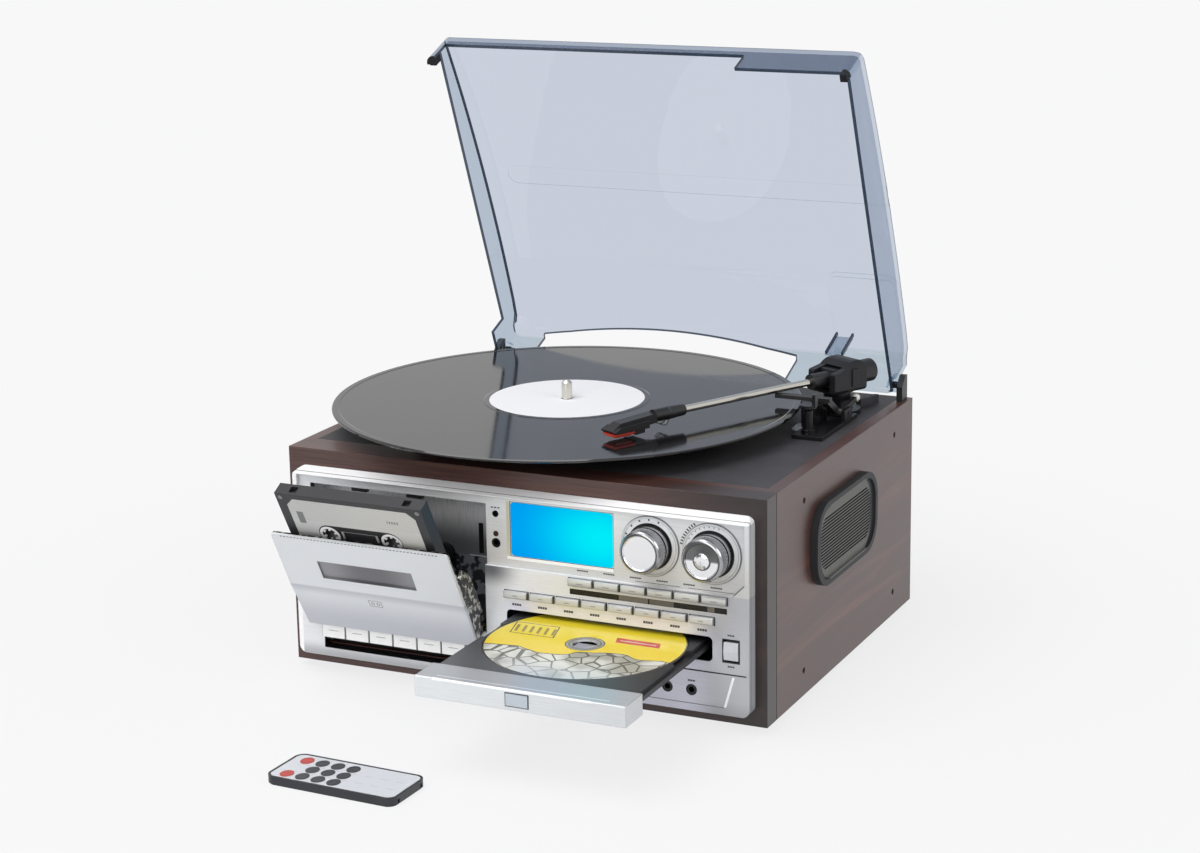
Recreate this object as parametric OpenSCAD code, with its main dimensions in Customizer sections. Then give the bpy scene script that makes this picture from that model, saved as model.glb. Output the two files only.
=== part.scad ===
// Tabletop stereo music centre: record deck with a clear dust cover, cassette deck,
// disc tray, radio with a lit display, side speakers and a small remote control.
// Millimetres. Origin: on the standing surface, under the cabinet's centre. X right, Y back, Z up.
// The solids stand as in the photograph: cover up, cassette door and disc tray open.

/* [Cabinet] */
// Width of the wooden cabinet
cab_w = 321; // [316:1:330]
// Depth of the wooden cabinet
cab_d = 259; // [254:1:270]
// Height of the wooden cabinet
cab_h = 139.5; // [138:0.5:146]
// Thickness of the front board
front_t = 15; // [12:0.5:16]
// Thickness of the side boards
side_t = 8; // [6:0.5:9]
// Thickness of the rear board
rear_t = 8; // [6:0.5:10]
// Thickness of the base board
base_t = 9; // [6:0.5:11]
// Depth of the wood in front of the deck plate
top_rail = 22; // [19:0.5:24]
// Thickness of the plastic deck plate
deck_t = 3.5; // [3:0.5:5]
// Height of the rubber feet
foot_h = 5; // [4:0.5:10]
// Radius of the rubber feet
foot_r = 10; // [7:0.5:13]
// Distance of the feet from the cabinet's edges
foot_in = 32; // [25:1:45]

/* [Front panel] */
// Gap from the cabinet's side to the panel
panel_in = 7.5; // [6:0.5:9]
// Height of the panel's lower edge
panel_z0 = 8; // [6:0.5:9]
// Height of the panel's upper edge
panel_z1 = 128.7; // [127:0.1:131]
// How far the panel stands out from the wood
panel_proud = 9.5; // [9:0.1:12]
// Thickness of the panel's thinnest face
panel_t = 2.5; // [2:0.1:3]
// Fall of the sloping top edge
panel_slope = 3.2; // [2:0.1:4]
// Radius of the panel's corners
panel_r = 5; // [3:0.5:7]
// Depth of the sunk upper face
sunk_d = 3; // [2:0.1:3.5]
// Height of the ledge under the display and knobs
ledge_z = 81.5; // [81:0.1:83]

/* [Controls] */
// Gap between two upper buttons
top_gap = 1.35; // [1.2:0.05:4]
// Height of an upper button
top_h = 4.6; // [3:0.1:5]
// Gap between two lower buttons
low_gap = 1.75; // [1.2:0.05:4]
// Height of a lower button
low_h = 4.3; // [3:0.1:5]
// How far a button stands out
button_out = 2.6; // [2:0.1:4]
// Travel of a button
button_travel = 1; // [0.6:0.1:1.4]
// Clearance round every button, key and switch
fit = 0.35; // [0.3:0.05:0.5]
// Radius of the two knobs
knob_r = 13; // [10:0.5:14]
// Length of the two knobs
knob_l = 16; // [10:0.5:20]
// Radius of the marked ring round each knob
ring_r = 18.2; // [16:0.1:19]

/* [Cassette deck] */
// Left edge of the bay
bay_x0 = 18.5; // [17:0.5:19.5]
// Right edge of the bay
bay_x1 = 141.5; // [141:0.5:143]
// Lower edge of the bay
bay_z0 = 38.3; // [38:0.1:39]
// Upper edge of the bay
bay_z1 = 119.5; // [119:0.1:121]
// Angle at which the door stands open
door_open = 29; // [20:1:29]
// Thickness of the door
door_t = 2.5; // [2:0.1:3]
// Width of a cassette
tape_w = 100.4; // [98:0.1:102]
// Height of a cassette
tape_h = 63.8; // [62:0.1:65]
// Thickness of a cassette
tape_t = 8.7; // [8:0.1:9.2]
// How far the cassette is lifted out of its holder
tape_lift = 40.6; // [20:0.1:42]
// Pitch of the six piano keys
key_pitch = 17; // [16:0.1:17.4]
// Height of a piano key's face
key_h = 12.6; // [10:0.1:13]

/* [Disc drawer] */
// Width of the disc slot
slot_w = 134.8; // [130:0.1:136]
// Height of the disc slot
slot_h = 15.2; // [14:0.1:16]
// How far the drawer is out
drawer_out = 117.5; // [60:0.5:118]
// Depth of the drawer's front block
block_d = 22.5; // [12:0.5:26]
// Diameter of the disc
disc_d = 120; // [118:0.5:120]

/* [Record deck] */
// Diameter of the record
record_d = 301.6; // [298:0.1:302]
// Height of the record's top above the deck
record_up = 14.3; // [13:0.1:15]
// Radius of the platter
platter_r = 98; // [90:1:104]
// Radius of the platter's belt ring
ring_belt_r = 60; // [50:1:64]
// Radius of the motor's pulley
pulley_r = 5; // [4:0.1:7]
// Radius of the spindle
spindle_r = 3.45; // [3.3:0.01:3.6]
// Height of the spindle above the record
spindle_up = 12; // [8:0.5:14]
// Distance from the arm's pivot to the stylus
arm_l = 184; // [182:0.5:186]
// Angle of the arm from straight ahead while it plays
arm_in = 26.7; // [20:0.1:27.5]
// Angle of the arm from straight ahead while it is parked
arm_out = 4.3; // [2:0.1:5]
// Height of the arm above the deck
arm_up = 23.5; // [22.5:0.1:24]
// Radius of the arm's tube
tube_r = 2.3; // [1.8:0.1:2.6]

/* [Dust cover] */
// Angle at which the cover stands open
cover_open = 68; // [45:1:80]
// Thickness of the clear plastic
cover_t = 2.2; // [1.8:0.1:2.6]
// Height of the cover at its front and back
cover_h = 27.7; // [27:0.1:30]
// Rise of the cover's crown
crown = 5.3; // [4.5:0.1:6]

/* [Remote control] */
// Length of the remote control
remote_l = 85; // [80:0.5:90]
// Width of the remote control
remote_w = 37; // [34:0.5:40]
// Thickness of the remote control
remote_t = 5.5; // [5:0.5:8]

/* [Hidden] */
$fn = 64;
e = 0.01;
gap = 0.3;
run = 0.08;

// Front faces and planes, measured from the wood's front face
face_y = -panel_proud;
sunk_y = face_y + sunk_d;
back_y = sunk_y + panel_t;
panel_x0 = panel_in;
panel_x1 = cab_w - panel_in;
rim = 3;
slope_z = panel_z1 - panel_slope;

// Front opening in the wood
open_in = 14;
open_z1 = 122;
screw_y = [front_t + 44.5, cab_d - 36];

// Display and indicators
disp_x0 = bay_x1 + 16.5;
disp_x1 = cab_w - 95;
disp_z0 = 88.5;
disp_z1 = 122.2;
lamp_x = bay_x1 + 6.5;
lamp_z = 113.7;
sensor_z = 101.2;
phones_z = 95.4;
jack_r = 1.8;
jack_l = 14;
socket_x = [cab_w - 59.7, cab_w - 44.2];
socket_z = 21.1;

// Knobs, buttons and the power switch
knob_x = [cab_w - 70.9, cab_w - 31.6];
knob_z = 105.3;
shaft_r = 3;
low_x0 = bay_x1 + 13.2;
low_z0 = 63.1;
low_pitch = (panel_x1 - 20 - low_x0) / 8;
low_w = low_pitch - low_gap;
top_x0 = low_x0 + 43.2;
top_z0 = 75.8;
top_pitch = (panel_x1 - 12.1 - top_x0) / 6;
top_w = top_pitch - top_gap;
stem_h = 3;
board_y = 4;
board_t = 1.6;
power_x0 = cab_w - 23.4;
power_w = 9.1;
power_z0 = 41.8;
power_h = 12.6;

// Rear sockets
rear_x = [60, 74];
rear_z = 40;
inlet_x = 110;

// Cassette bay, its door and keys
door_gap = 0.8;
door_z0 = bay_z0 + 1.9;
door_z1 = bay_z1 - door_gap;
door_x0 = bay_x0 + door_gap;
door_x1 = bay_x1 - door_gap;
door_y = face_y - 2;
hinge_y = 2;
hinge_z = 24;
lip_r = sqrt(pow(face_y - hinge_y, 2) + pow(bay_z0 - hinge_z, 2)) + 0.65;
shelf_z = hinge_z + lip_r + 0.2;
shelf_t = 1.5;
tape_z = shelf_z + shelf_t + gap;
tape_y = door_y + 5.7;
tape_x = (bay_x0 + bay_x1) / 2;
arm_t = 2;
hub_gap = 42.5;
hub_up = 32.4;
journal_r = spindle_r + 0.3;
key_x0 = 26.6;
key_z0 = 21.9;
key_y = -13;
key_axle_y = 12;
key_axle_z = 28;
key_axle_r = 1.5;
mech_y = 17;

// Disc slot and drawer
slot_x = bay_x1 + 14.1 + slot_w / 2;
slot_z = 47.8;
drawer_z0 = slot_z - slot_h / 2 + 0.5;
drawer_h = slot_h - 2.9;
drawer_w = slot_w - 3.6;
tray_w = 124.4;
tray_z0 = 45.5;
tray_z1 = 52.6;
disc_t = 1.2;
disc_z = tray_z1 - disc_t - 0.2;
disc_y = face_y + block_d + 3.7 + disc_d / 2 - drawer_out;
tray_back = disc_y + disc_d / 2 + 3;

// Record deck
deck_y1 = cab_d - rear_t;
spin_x = cab_w / 2 - 26.7;
spin_y = cab_d / 2 - 6.4;
record_t = 2;
record_z = cab_h + record_up - record_t;
platter_z0 = cab_h + 2.5;
motor_a = -45;
motor_d = ring_belt_r + pulley_r + 15;
motor_x = spin_x + motor_d * cos(motor_a);
motor_y = spin_y + motor_d * sin(motor_a);
belt_z = cab_h + 2.2;
belt_h = 3.6;

// Tonearm
arm_x = cab_w - 33.2;
arm_y = cab_d - 52.5;
arm_z = cab_h + arm_up;
yoke_w = 25;
yoke_r = 11;
yoke_z0 = arm_z - 9;
yoke_h = 20.5;
head_l = 42;
lift_r = 45;
rest_r = 66.7;

// Dust cover, closed: its own outline before it is swung open
cover_x0 = 21.7;
cover_x1 = cab_w - 6.8;
cover_y0 = 12;
cover_y1 = cab_d - 7;
cover_z0 = cab_h + 0.5;
hinge_cy = cab_d - 9;
hinge_cz = cab_h + 10;
hinge_pin_r = 2.2;
bracket_t = 4;
cut_h = 16.6;

// Speakers
spk_y = cab_d / 2 - 6;
spk_z = cab_h - 51;
spk_w = 108;
spk_h = 53;
spk_r = 20;
bezel_out = 5;
cone_r = 31;

// Remote control, which lies on the surface in front of the cabinet
remote_x = 129.5;
remote_y = -160.5;
remote_turn = -2;
remote_r = 6;
remote_key = [7.8, 9.2];
remote_pitch = 10.4;

module placed() {
    translate([-cab_w / 2, -cab_d / 2, foot_h]) children();
}

// Box from one corner to the other
module span(a, b) {
    translate(a) cube([b[0] - a[0], b[1] - a[1], b[2] - a[2]]);
}

// Flat rectangle with round corners, centred
module round_rect(w, h, r) {
    square([w - 2 * r, h], center = true);
    square([w, h - 2 * r], center = true);
    for (x = [-1, 1], y = [-1, 1])
        translate([x * (w / 2 - r), y * (h / 2 - r)]) circle(r);
}

// Plate in the XZ plane, from y0 to y1, centred on x and z
module face_plate(x, z, w, h, r, y0, y1) {
    translate([x, y1, z]) rotate([90, 0, 0]) linear_extrude(y1 - y0) round_rect(w, h, r);
}

// Round bar along Y
module bar_y(x, z, r, y0, y1) {
    translate([x, y1, z]) rotate([90, 0, 0]) cylinder(r = r, h = y1 - y0);
}

// Round bar along X
module bar_x(y, z, r, x0, x1) {
    translate([x0, y, z]) rotate([0, 90, 0]) cylinder(r = r, h = x1 - x0);
}

// Side outline drawn as [y, z] points, pulled from x0 to x1
module side_plate(x0, x1) {
    translate([x0, 0, 0]) rotate([90, 0, 90]) linear_extrude(x1 - x0) children();
}

module screw_head(r, h) {
    difference() {
        cylinder(r = r, h = h);
        for (a = [0, 90])
            rotate([0, 0, a]) translate([-r * 0.7, -0.4, h - 0.6]) cube([r * 1.4, 0.8, 1]);
    }
}

module front_frame() {
    color("#4a2f2b") placed() {
        difference() {
            union() {
                span([0, 0, 0], [cab_w, front_t, cab_h]);
                span([side_t, front_t - e, open_z1 + 3], [cab_w - side_t, top_rail, cab_h]);
            }
            span([open_in, -1, open_in], [cab_w - open_in, top_rail + 1, open_z1]);
            for (x = [0, cab_w])
                translate([x, front_t, cab_h / 2]) rotate([0, 0, 45])
                    cube([1, 1, cab_h + 2], center = true);
        }
    }
}

module side_panels() {
    color("#6b5a55") placed() for (right = [0, 1]) {
        x0 = right ? cab_w - side_t : 0;
        difference() {
            span([x0, front_t, 0], [x0 + side_t, cab_d, cab_h]);
            translate([x0 - 1, spk_y, spk_z]) rotate([90, 0, 90]) linear_extrude(side_t + 2)
                round_rect(spk_w - 14, spk_h - 14, spk_r - 7);
            for (y = screw_y, z = [16, cab_h - 16.5])
                bar_x(y, z, 2, x0 - 1, x0 + side_t + 1);
        }
    }
}

module rear_panel() {
    color("#3b3431") placed() difference() {
        span([side_t, deck_y1, 0], [cab_w - side_t, cab_d, cab_h - deck_t]);
        for (i = [0:13])
            span([cab_w - 125 + i * 7, deck_y1 - 1, 88], [cab_w - 122 + i * 7, cab_d + 1, 118]);
        for (x = rear_x)
            bar_y(x, rear_z, 4.2, deck_y1 - 1, cab_d + 1);
        span([inlet_x - 10, deck_y1 - 1, 30], [inlet_x + 10, cab_d + 1, 46]);
    }
}

module base_board() {
    color("#5a4a40") placed() difference() {
        span([side_t, front_t, 0], [cab_w - side_t, deck_y1, base_t]);
        for (i = [0:9], x = [60, cab_w - 101])
            span([x + i * 5, deck_y1 - 61, -1], [x + i * 5 + 2.5, deck_y1 - 26, base_t + 1]);
    }
}

module feet() {
    color("#1c1c1c") placed()
        for (x = [foot_in, cab_w - foot_in], y = [foot_in, cab_d - foot_in])
            translate([x, y, -foot_h]) rotate_extrude() polygon([[0, 0], [foot_r - 1.5, 0],
                [foot_r, foot_h * 0.4], [foot_r, foot_h], [0, foot_h]]);
}

// Low curved lip on the deck behind the arm
module deck_lip() {
    translate([arm_x - 29.8, arm_y + 39.5, cab_h - e]) intersection() {
        difference() {
            cylinder(r = 46, h = 5);
            translate([0, 0, -1]) cylinder(r = 43.2, h = 7);
        }
        translate([0, -23, -1]) cube([60, 18, 7]);
    }
}

module deck_plate() {
    color("#333338") placed() difference() {
        union() {
            span([side_t, top_rail, cab_h - deck_t], [cab_w - side_t, deck_y1, cab_h]);
            span([side_t, deck_y1 - e, cab_h - deck_t], [cab_w - side_t, cab_d, cab_h]);
            translate([spin_x, spin_y, cab_h - 24]) cylinder(r = 9, h = 24.5);
            deck_lip();
            for (x = [side_t + 14, cab_w - side_t - 14], y = [top_rail + 10, deck_y1 - 12])
                translate([x, y, cab_h - 14]) cylinder(r = 4, h = 12);
        }
        translate([spin_x, spin_y, cab_h - 26]) cylinder(r = journal_r + run, h = 30);
        translate([motor_x, motor_y, cab_h - deck_t - 1]) cylinder(r = pulley_r + 4, h = 8);
        translate([arm_x, arm_y, cab_h - deck_t - 1]) cylinder(r = 6, h = 8);
    }
}

module hinge_brackets() {
    color("#2a2a2c") placed() for (right = [0, 1]) {
        x0 = right ? cover_x1 + 0.4 : cover_x0 - 0.4 - bracket_t;
        side_plate(x0, x0 + bracket_t) polygon([[hinge_cy - 5, cab_h], [hinge_cy - 5,
            hinge_cz], [hinge_cy + 1, hinge_cz + 6.5], [hinge_cy + 5, hinge_cz + 6.5],
            [hinge_cy + 5, cab_h]]);
        bar_x(hinge_cy, hinge_cz, hinge_pin_r, right ? x0 - 4.5 : x0 + 1,
            right ? x0 + 1 : x0 + bracket_t + 4.5);
    }
}

module cabinet_screws() {
    color("#3a3a3a") placed() {
        for (right = [0, 1], y = screw_y, z = [16, cab_h - 16.5])
            translate([right ? cab_w - 1.6 : 1.6, y, z]) rotate([0, right ? 90 : -90, 0]) {
                screw_head(1.9, 1.2);
                translate([0, 0, -side_t - 4]) cylinder(r = 1.2, h = side_t + 4 + e);
            }
        for (x = [foot_in, cab_w - foot_in], y = [foot_in + 16, cab_d - foot_in - 16])
            translate([x, y, 0]) rotate([180, 0, 0]) screw_head(3.5, 1.6);
    }
}

module speaker_grilles() {
    color("#2b2b2d") placed() for (right = [0, 1])
        translate([right ? cab_w : 0, spk_y, spk_z]) rotate([90, 0, right ? 90 : -90]) {
            // Bezel, standing out from the wood, with its skirt through the side board
            difference() {
                union() {
                    linear_extrude(bezel_out) round_rect(spk_w, spk_h, spk_r);
                    translate([0, 0, -side_t]) linear_extrude(side_t + 1)
                        round_rect(spk_w - 14.6, spk_h - 14.6, spk_r - 7.3);
                }
                translate([0, 0, bezel_out - 1.6]) linear_extrude(3)
                    round_rect(spk_w - 8, spk_h - 8, spk_r - 4);
                translate([0, 0, -side_t - 1]) linear_extrude(side_t + bezel_out - 2)
                    round_rect(spk_w - 20, spk_h - 20, spk_r - 10);
                intersection() {
                    translate([0, 0, -1]) linear_extrude(bezel_out + 2)
                        round_rect(spk_w - 20, spk_h - 20, spk_r - 10);
                    for (i = [-8:8])
                        translate([-spk_w / 2, i * 1.95 - 0.5, -1]) cube([spk_w, 1, 10]);
                }
            }
        }
}

module speakers() {
    color("#222222") placed() for (right = [0, 1])
        translate([right ? cab_w - side_t : side_t, spk_y, spk_z])
            rotate([0, right ? -90 : 90, 0]) difference() {
                union() {
                    rotate_extrude() polygon([[0, 5], [8, 6], [cone_r - 7, 1.5],
                        [cone_r - 3, 2.4], [cone_r - 2, gap], [cone_r + 4, gap],
                        [cone_r + 4, 3], [cone_r - 1, 4], [19, 17], [19, 27], [0, 27]]);
                    translate([0, 0, 27]) cylinder(r = 21, h = 7);
                }
                for (a = [45:90:315])
                    rotate([0, 0, a]) translate([cone_r + 1.5, 0, -1]) cylinder(r = 1.2, h = 6);
            }
}

// Outline of the sunk upper face, with its sloping corner at the lower right
module sunk_outline() {
    polygon([[panel_x0 + rim, bay_z0], [panel_x0 + rim, slope_z - 0.6],
        [panel_x1 - rim, slope_z - 0.6], [panel_x1 - rim, ledge_z + 7],
        [panel_x1 - rim - 7, ledge_z], [bay_x1, ledge_z], [bay_x1, bay_z0]]);
}

module knob_ring(x) {
    translate([x, sunk_y + e, knob_z]) rotate([90, 0, 0]) difference() {
        cylinder(r = ring_r, h = 1.1);
        translate([0, 0, -1]) cylinder(r = knob_r + 1.2, h = 4);
        translate([0, 0, 0.5]) difference() {
            cylinder(r = ring_r - 0.8, h = 2);
            translate([0, 0, -1]) cylinder(r = ring_r - 1.4, h = 4);
        }
    }
}

module front_panel() {
    mid_x = (panel_x0 + panel_x1) / 2;
    color("#c9cbd0") placed() difference() {
        union() {
            difference() {
                intersection() {
                    face_plate(mid_x, (panel_z0 + panel_z1) / 2, panel_x1 - panel_x0,
                        panel_z1 - panel_z0, panel_r, face_y, 0);
                    side_plate(panel_x0, panel_x1) polygon([[0, panel_z0], [face_y, panel_z0],
                        [face_y, slope_z], [0, panel_z1]]);
                }
                span([panel_x0 + rim, back_y, panel_z0 + rim],
                    [panel_x1 - rim, 1, slope_z - 0.6]);
                span([panel_x0 + rim, face_y + panel_t, panel_z0 + rim],
                    [bay_x1 + 5, back_y + e, bay_z0 + e]);
                translate([0, sunk_y, 0]) rotate([90, 0, 0]) linear_extrude(panel_proud)
                    sunk_outline();
            }
            for (x = knob_x) knob_ring(x);
            // Sunk box that holds the piano keys
            span([key_x0 - 2.5, face_y + 1, key_z0 - 10],
                [key_x0 + 6 * key_pitch + 2, 0, key_z0 - 8.5]);
        }
        // Cassette bay and the slot of the keys
        span([bay_x0, face_y - 1, bay_z0], [bay_x1, 2, bay_z1]);
        span([key_x0 - 0.6, face_y - 1, key_z0 - 8.4],
            [key_x0 + 6 * key_pitch + 0.6, 2, key_z0 + key_h + 0.6]);
        // Display window
        span([disp_x0 - fit, face_y, disp_z0 - fit], [disp_x1 + fit, 1, disp_z1 + fit]);
        // Lamp, sensor and earphone socket
        bar_y(lamp_x, lamp_z, 1.5 + fit, face_y - 1, 1);
        bar_y(lamp_x, sensor_z, 1.3 + fit, face_y - 1, 1);
        bar_y(lamp_x, phones_z, 2.5 + fit, face_y - 1, 1);
        for (x = socket_x) bar_y(x, socket_z, 3 + fit, face_y - 1, 1);
        // Knob shafts
        for (x = knob_x) bar_y(x, knob_z, shaft_r + 0.4, face_y - 1, 1);
        // Button holes and the dark strip under the upper row
        for (i = [0:5])
            span([top_x0 + i * top_pitch - fit, face_y - 1, top_z0 - fit],
                [top_x0 + i * top_pitch + top_w + fit, 1, top_z0 + top_h + fit]);
        for (i = [0:7])
            span([low_x0 + i * low_pitch - fit, face_y - 1, low_z0 - fit],
                [low_x0 + i * low_pitch + low_w + fit, 1, low_z0 + low_h + fit]);
        span([top_x0 + 0.5, face_y - 1, top_z0 - 5.4],
            [top_x0 + 6 * top_pitch - 1.8, face_y + 0.8, top_z0 - 2.1]);
        // Disc slot and power switch
        face_plate(slot_x, slot_z, slot_w, slot_h, 3, face_y - 1, 1);
        span([power_x0 - fit, face_y - 1, power_z0 - fit],
            [power_x0 + power_w + fit, 1, power_z0 + power_h + fit]);
        // Thin groove above the lower sockets
        span([slot_x + 47, face_y - 1, 33.2], [panel_x1 - 1.8, face_y + 0.6, 34]);
    }
}

module display_module() {
    color("#19b6f0") placed() {
        span([disp_x0, sunk_y + 0.2, disp_z0], [disp_x1, back_y + 1, disp_z1]);
        span([disp_x0 - 2.5, back_y, disp_z0 - 2.5], [disp_x1 + 2.5, -gap, disp_z1 + 1.8]);
        span([disp_x0 - 2.5, -gap - e, disp_z0 - 2.5], [disp_x1 + 2.5, board_y,
            open_z1 - gap]);
        bar_y(lamp_x, lamp_z, 1.5, sunk_y - 0.6, board_y);
        bar_y(lamp_x, sensor_z, 1.3, sunk_y + 0.3, board_y);
    }
}

// Hollow round socket that faces the front
module socket(x, z, r, y0) {
    difference() {
        union() {
            bar_y(x, z, r, y0, back_y + 1);
            span([x - 4, back_y + 0.4, z - 4], [x + 4, board_y + 0.5, z + 4]);
        }
        bar_y(x, z, jack_r, y0 - 1, y0 + jack_l);
    }
}

module control_board() {
    color("#1f6b3a") placed() {
        difference() {
            union() {
                span([lamp_x - 4.5, board_y, 60], [panel_x1 - 9, board_y + board_t, 121]);
                span([power_x0 - 1.2, board_y, power_z0 + 4], [panel_x1 - 9, board_y + board_t, 61]);
                span([socket_x[0] - 7.3, board_y, 14.5], [socket_x[1] + 7.2, board_y + board_t,
                    27.5]);
            }
            for (x = knob_x) bar_y(x, knob_z, shaft_r + 0.6, 0, 8);
            bar_y(lamp_x, phones_z, jack_r, 0, 8);
            for (x = socket_x) bar_y(x, socket_z, jack_r, 0, 8);
        }
        socket(lamp_x, phones_z, 2.5, sunk_y + 0.2);
        for (x = socket_x) socket(x, socket_z, 3, face_y + 0.2);
        // Push switches behind the buttons
        for (i = [0:5])
            span([top_x0 + i * top_pitch + top_w / 2 - 2, 1, top_z0 + top_h / 2 - 2],
                [top_x0 + i * top_pitch + top_w / 2 + 2, board_y, top_z0 + top_h / 2 + 2]);
        for (i = [0:7])
            span([low_x0 + i * low_pitch + low_w / 2 - 2, 1, low_z0 + low_h / 2 - 2],
                [low_x0 + i * low_pitch + low_w / 2 + 2, board_y, low_z0 + low_h / 2 + 2]);
        // Bodies of the two rotary controls
        for (x = knob_x) difference() {
            bar_y(x, knob_z, 8, board_y + board_t, board_y + 12);
            bar_y(x, knob_z, shaft_r + run, 0, board_y + 13);
        }
        // Body of the power switch
        span([power_x0 + 0.5, back_y + 5 + gap, power_z0 + 0.5],
            [power_x0 + power_w - 0.5, 18, power_z0 + power_h + 2]);
    }
}

module main_board() {
    y1 = deck_y1 - 11;
    top_z = base_t + 6 + board_t;
    color("#1f6b3a") placed() {
        // Rear sockets on their blocks, and the mains inlet
        difference() {
            union() {
                span([rear_x[0] - 6, y1 - 6, base_t + 6], [rear_x[1] + 6, y1 + 2, rear_z + 6]);
                for (x = rear_x) bar_y(x, rear_z, 4.2 - fit, y1 - 2, cab_d + 2.5);
                span([inlet_x - 10 + fit, y1 - 12, base_t + 6], [inlet_x + 10 - fit, y1, 31]);
                span([inlet_x - 10 + fit, y1 - 12, 30 + fit], [inlet_x + 10 - fit, cab_d - 1,
                    46 - fit]);
            }
            for (x = rear_x) bar_y(x, rear_z, 1.6, cab_d - 15, cab_d + 4);
            span([inlet_x - 7, cab_d - 12, 33.4], [inlet_x + 7, cab_d, 42.6]);
        }
        for (x = [-3.5, 3.5]) bar_y(inlet_x + x, 38, 1.2, cab_d - 13, cab_d - 3);
        span([22, y1 - 90, base_t + 6], [140, y1, top_z]);
        for (x = [28, 134], y = [y1 - 84, y1 - 6])
            translate([x, y, base_t]) cylinder(r = 3, h = 6);
        // Mains transformer, heat sink, capacitors and the radio's screened box
        span([30, y1 - 48, top_z], [72, y1 - 12, base_t + 42]);
        span([36, y1 - 52, base_t + 12], [66, y1 - 8, base_t + 36]);
        for (i = [0:5])
            span([88 + i * 4, y1 - 40, top_z], [89.5 + i * 4, y1 - 8, base_t + 34]);
        span([88, y1 - 26, top_z], [111, y1 - 23, base_t + 34]);
        for (i = [0:2])
            translate([84 + i * 16, y1 - 72, top_z]) cylinder(r = 6, h = 18);
        span([30, y1 - 84, top_z], [66, y1 - 60, base_t + 20]);
    }
}

module cd_drive() {
    x0 = slot_x - drawer_w / 2;
    x1 = slot_x + drawer_w / 2;
    end_y = tray_back + drawer_out + 6;
    seat_y = disc_y + drawer_out;
    floor_z = 33;
    color("#44464a") placed() {
        difference() {
            union() {
                span([x0 - 4, back_y + 1.5, floor_z - 2], [x1 + 4, end_y + 3, 57.5]);
                for (x = [x0, x1 - 8], y = [30, end_y - 14])
                    span([x, y, base_t], [x + 8, y + 12, floor_z]);
            }
            // Room for the front block, then the channel and the grooves of the tray
            span([x0 - 0.4, -20, drawer_z0 - 0.4], [x1 + 0.4, face_y + block_d + 1,
                drawer_z0 + drawer_h + 0.4]);
            span([slot_x - tray_w / 2 - 0.4, -20, tray_z0 - 0.4], [slot_x + tray_w / 2 + 0.4,
                end_y, tray_z1 + 1.6]);
            span([slot_x - tray_w / 2 - 2.3, -20, tray_z0 + 1.3], [slot_x + tray_w / 2 + 2.3,
                end_y, tray_z0 + 4.7]);
            span([x0 + 8, 30, floor_z], [x1 - 8, end_y - 4, tray_z0]);
            span([x0 + 20, 40, tray_z1], [x1 - 20, end_y - 20, 60]);
            span([x0 + 20, 40, floor_z - 4], [slot_x - 30, end_y - 20, floor_z + 1]);
        }
        // Turntable motor and the laser unit on its two rods
        translate([slot_x, seat_y, floor_z - e]) cylinder(r = 9, h = 9);
        translate([slot_x, seat_y, floor_z + 8]) cylinder(r = 11, h = 3.2);
        for (x = [-10, 10]) bar_y(slot_x + x, floor_z + 5, 1.2, seat_y + 14, end_y - 3.5);
        span([slot_x - 12, seat_y + 24, floor_z - e], [slot_x + 12, seat_y + 40, floor_z + 8]);
        translate([slot_x, seat_y + 30, floor_z + 7]) cylinder(r = 3, h = 3.5);
    }
}

module cassette_mechanism() {
    hub_z = tape_z + hub_up;
    color("#4b4d50") placed() {
        difference() {
            union() {
                // Open box behind the bay
                span([bay_x0 - 2.6, 0.3, bay_z0 + 2], [bay_x0 - 1, mech_y, bay_z1 + 2]);
                span([bay_x1 + 0.4, 2.4, bay_z0 + 2], [bay_x1 + 1.6, mech_y, bay_z1 + 2]);
                span([bay_x0 - 2.6, 2.4, bay_z1 + 0.5], [bay_x1 + 1.6, mech_y, bay_z1 + 2]);
                span([bay_x0 - 2.6, mech_y - 2, open_in + 1], [bay_x1 + 1.6, mech_y,
                    bay_z1 + 2]);
                // Floor behind the keys, with lugs for the key axle and the door pivots
                span([bay_x0 - 2.6, 0.5, open_in + 1], [bay_x1 + 1.6, mech_y, open_in + 2.5]);
                for (x = [bay_x0 - 1.6, bay_x1 - 1.2])
                    span([x, -2, open_in + 2], [x + 1.6, mech_y - 1, hinge_z + 4]);
                for (x = [key_x0 - 2.2, key_x0 + 6 * key_pitch + 0.4])
                    span([x, key_axle_y - 3, open_in + 2], [x + 1.4, mech_y - 1,
                        key_axle_z + 3.5]);
                bar_x(key_axle_y, key_axle_z, key_axle_r, key_x0 - 2, key_x0 + 6 * key_pitch + 1.6);
                // Motor, flywheel housing and belt cover at the back
                span([bay_x0 + 15.5, mech_y - e, bay_z0 + 11.7], [bay_x1 - 15.5, mech_y + 16,
                    bay_z1 - 13.5]);
                bar_y(tape_x + 32, bay_z0 + 49.7, 15, mech_y, mech_y + 26);
            }
            for (s = [-1, 1])
                bar_y(tape_x + s * hub_gap / 2, hub_z, 2 + run, mech_y - 6, mech_y + 12);
            bar_x(hinge_y, hinge_z, 1.6 + run, bay_x0 - 4, bay_x1 + 4);
        }
        // Head block and its rollers, under the cassette
        span([tape_x - 26, 7, bay_z0 + 2.2], [tape_x + 26, mech_y - 1.5, tape_z - 1]);
        bar_y(tape_x - 14, tape_z + 6, 3, 5.4, mech_y - 1.5);
        bar_y(tape_x + 14, tape_z + 6, 3, 5.4, mech_y - 1.5);
    }
}

// Turns a closed piece of the door to its open place
module swung_door() {
    translate([0, hinge_y, hinge_z]) rotate([door_open, 0, 0])
        translate([0, -hinge_y, -hinge_z]) children();
}

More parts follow.
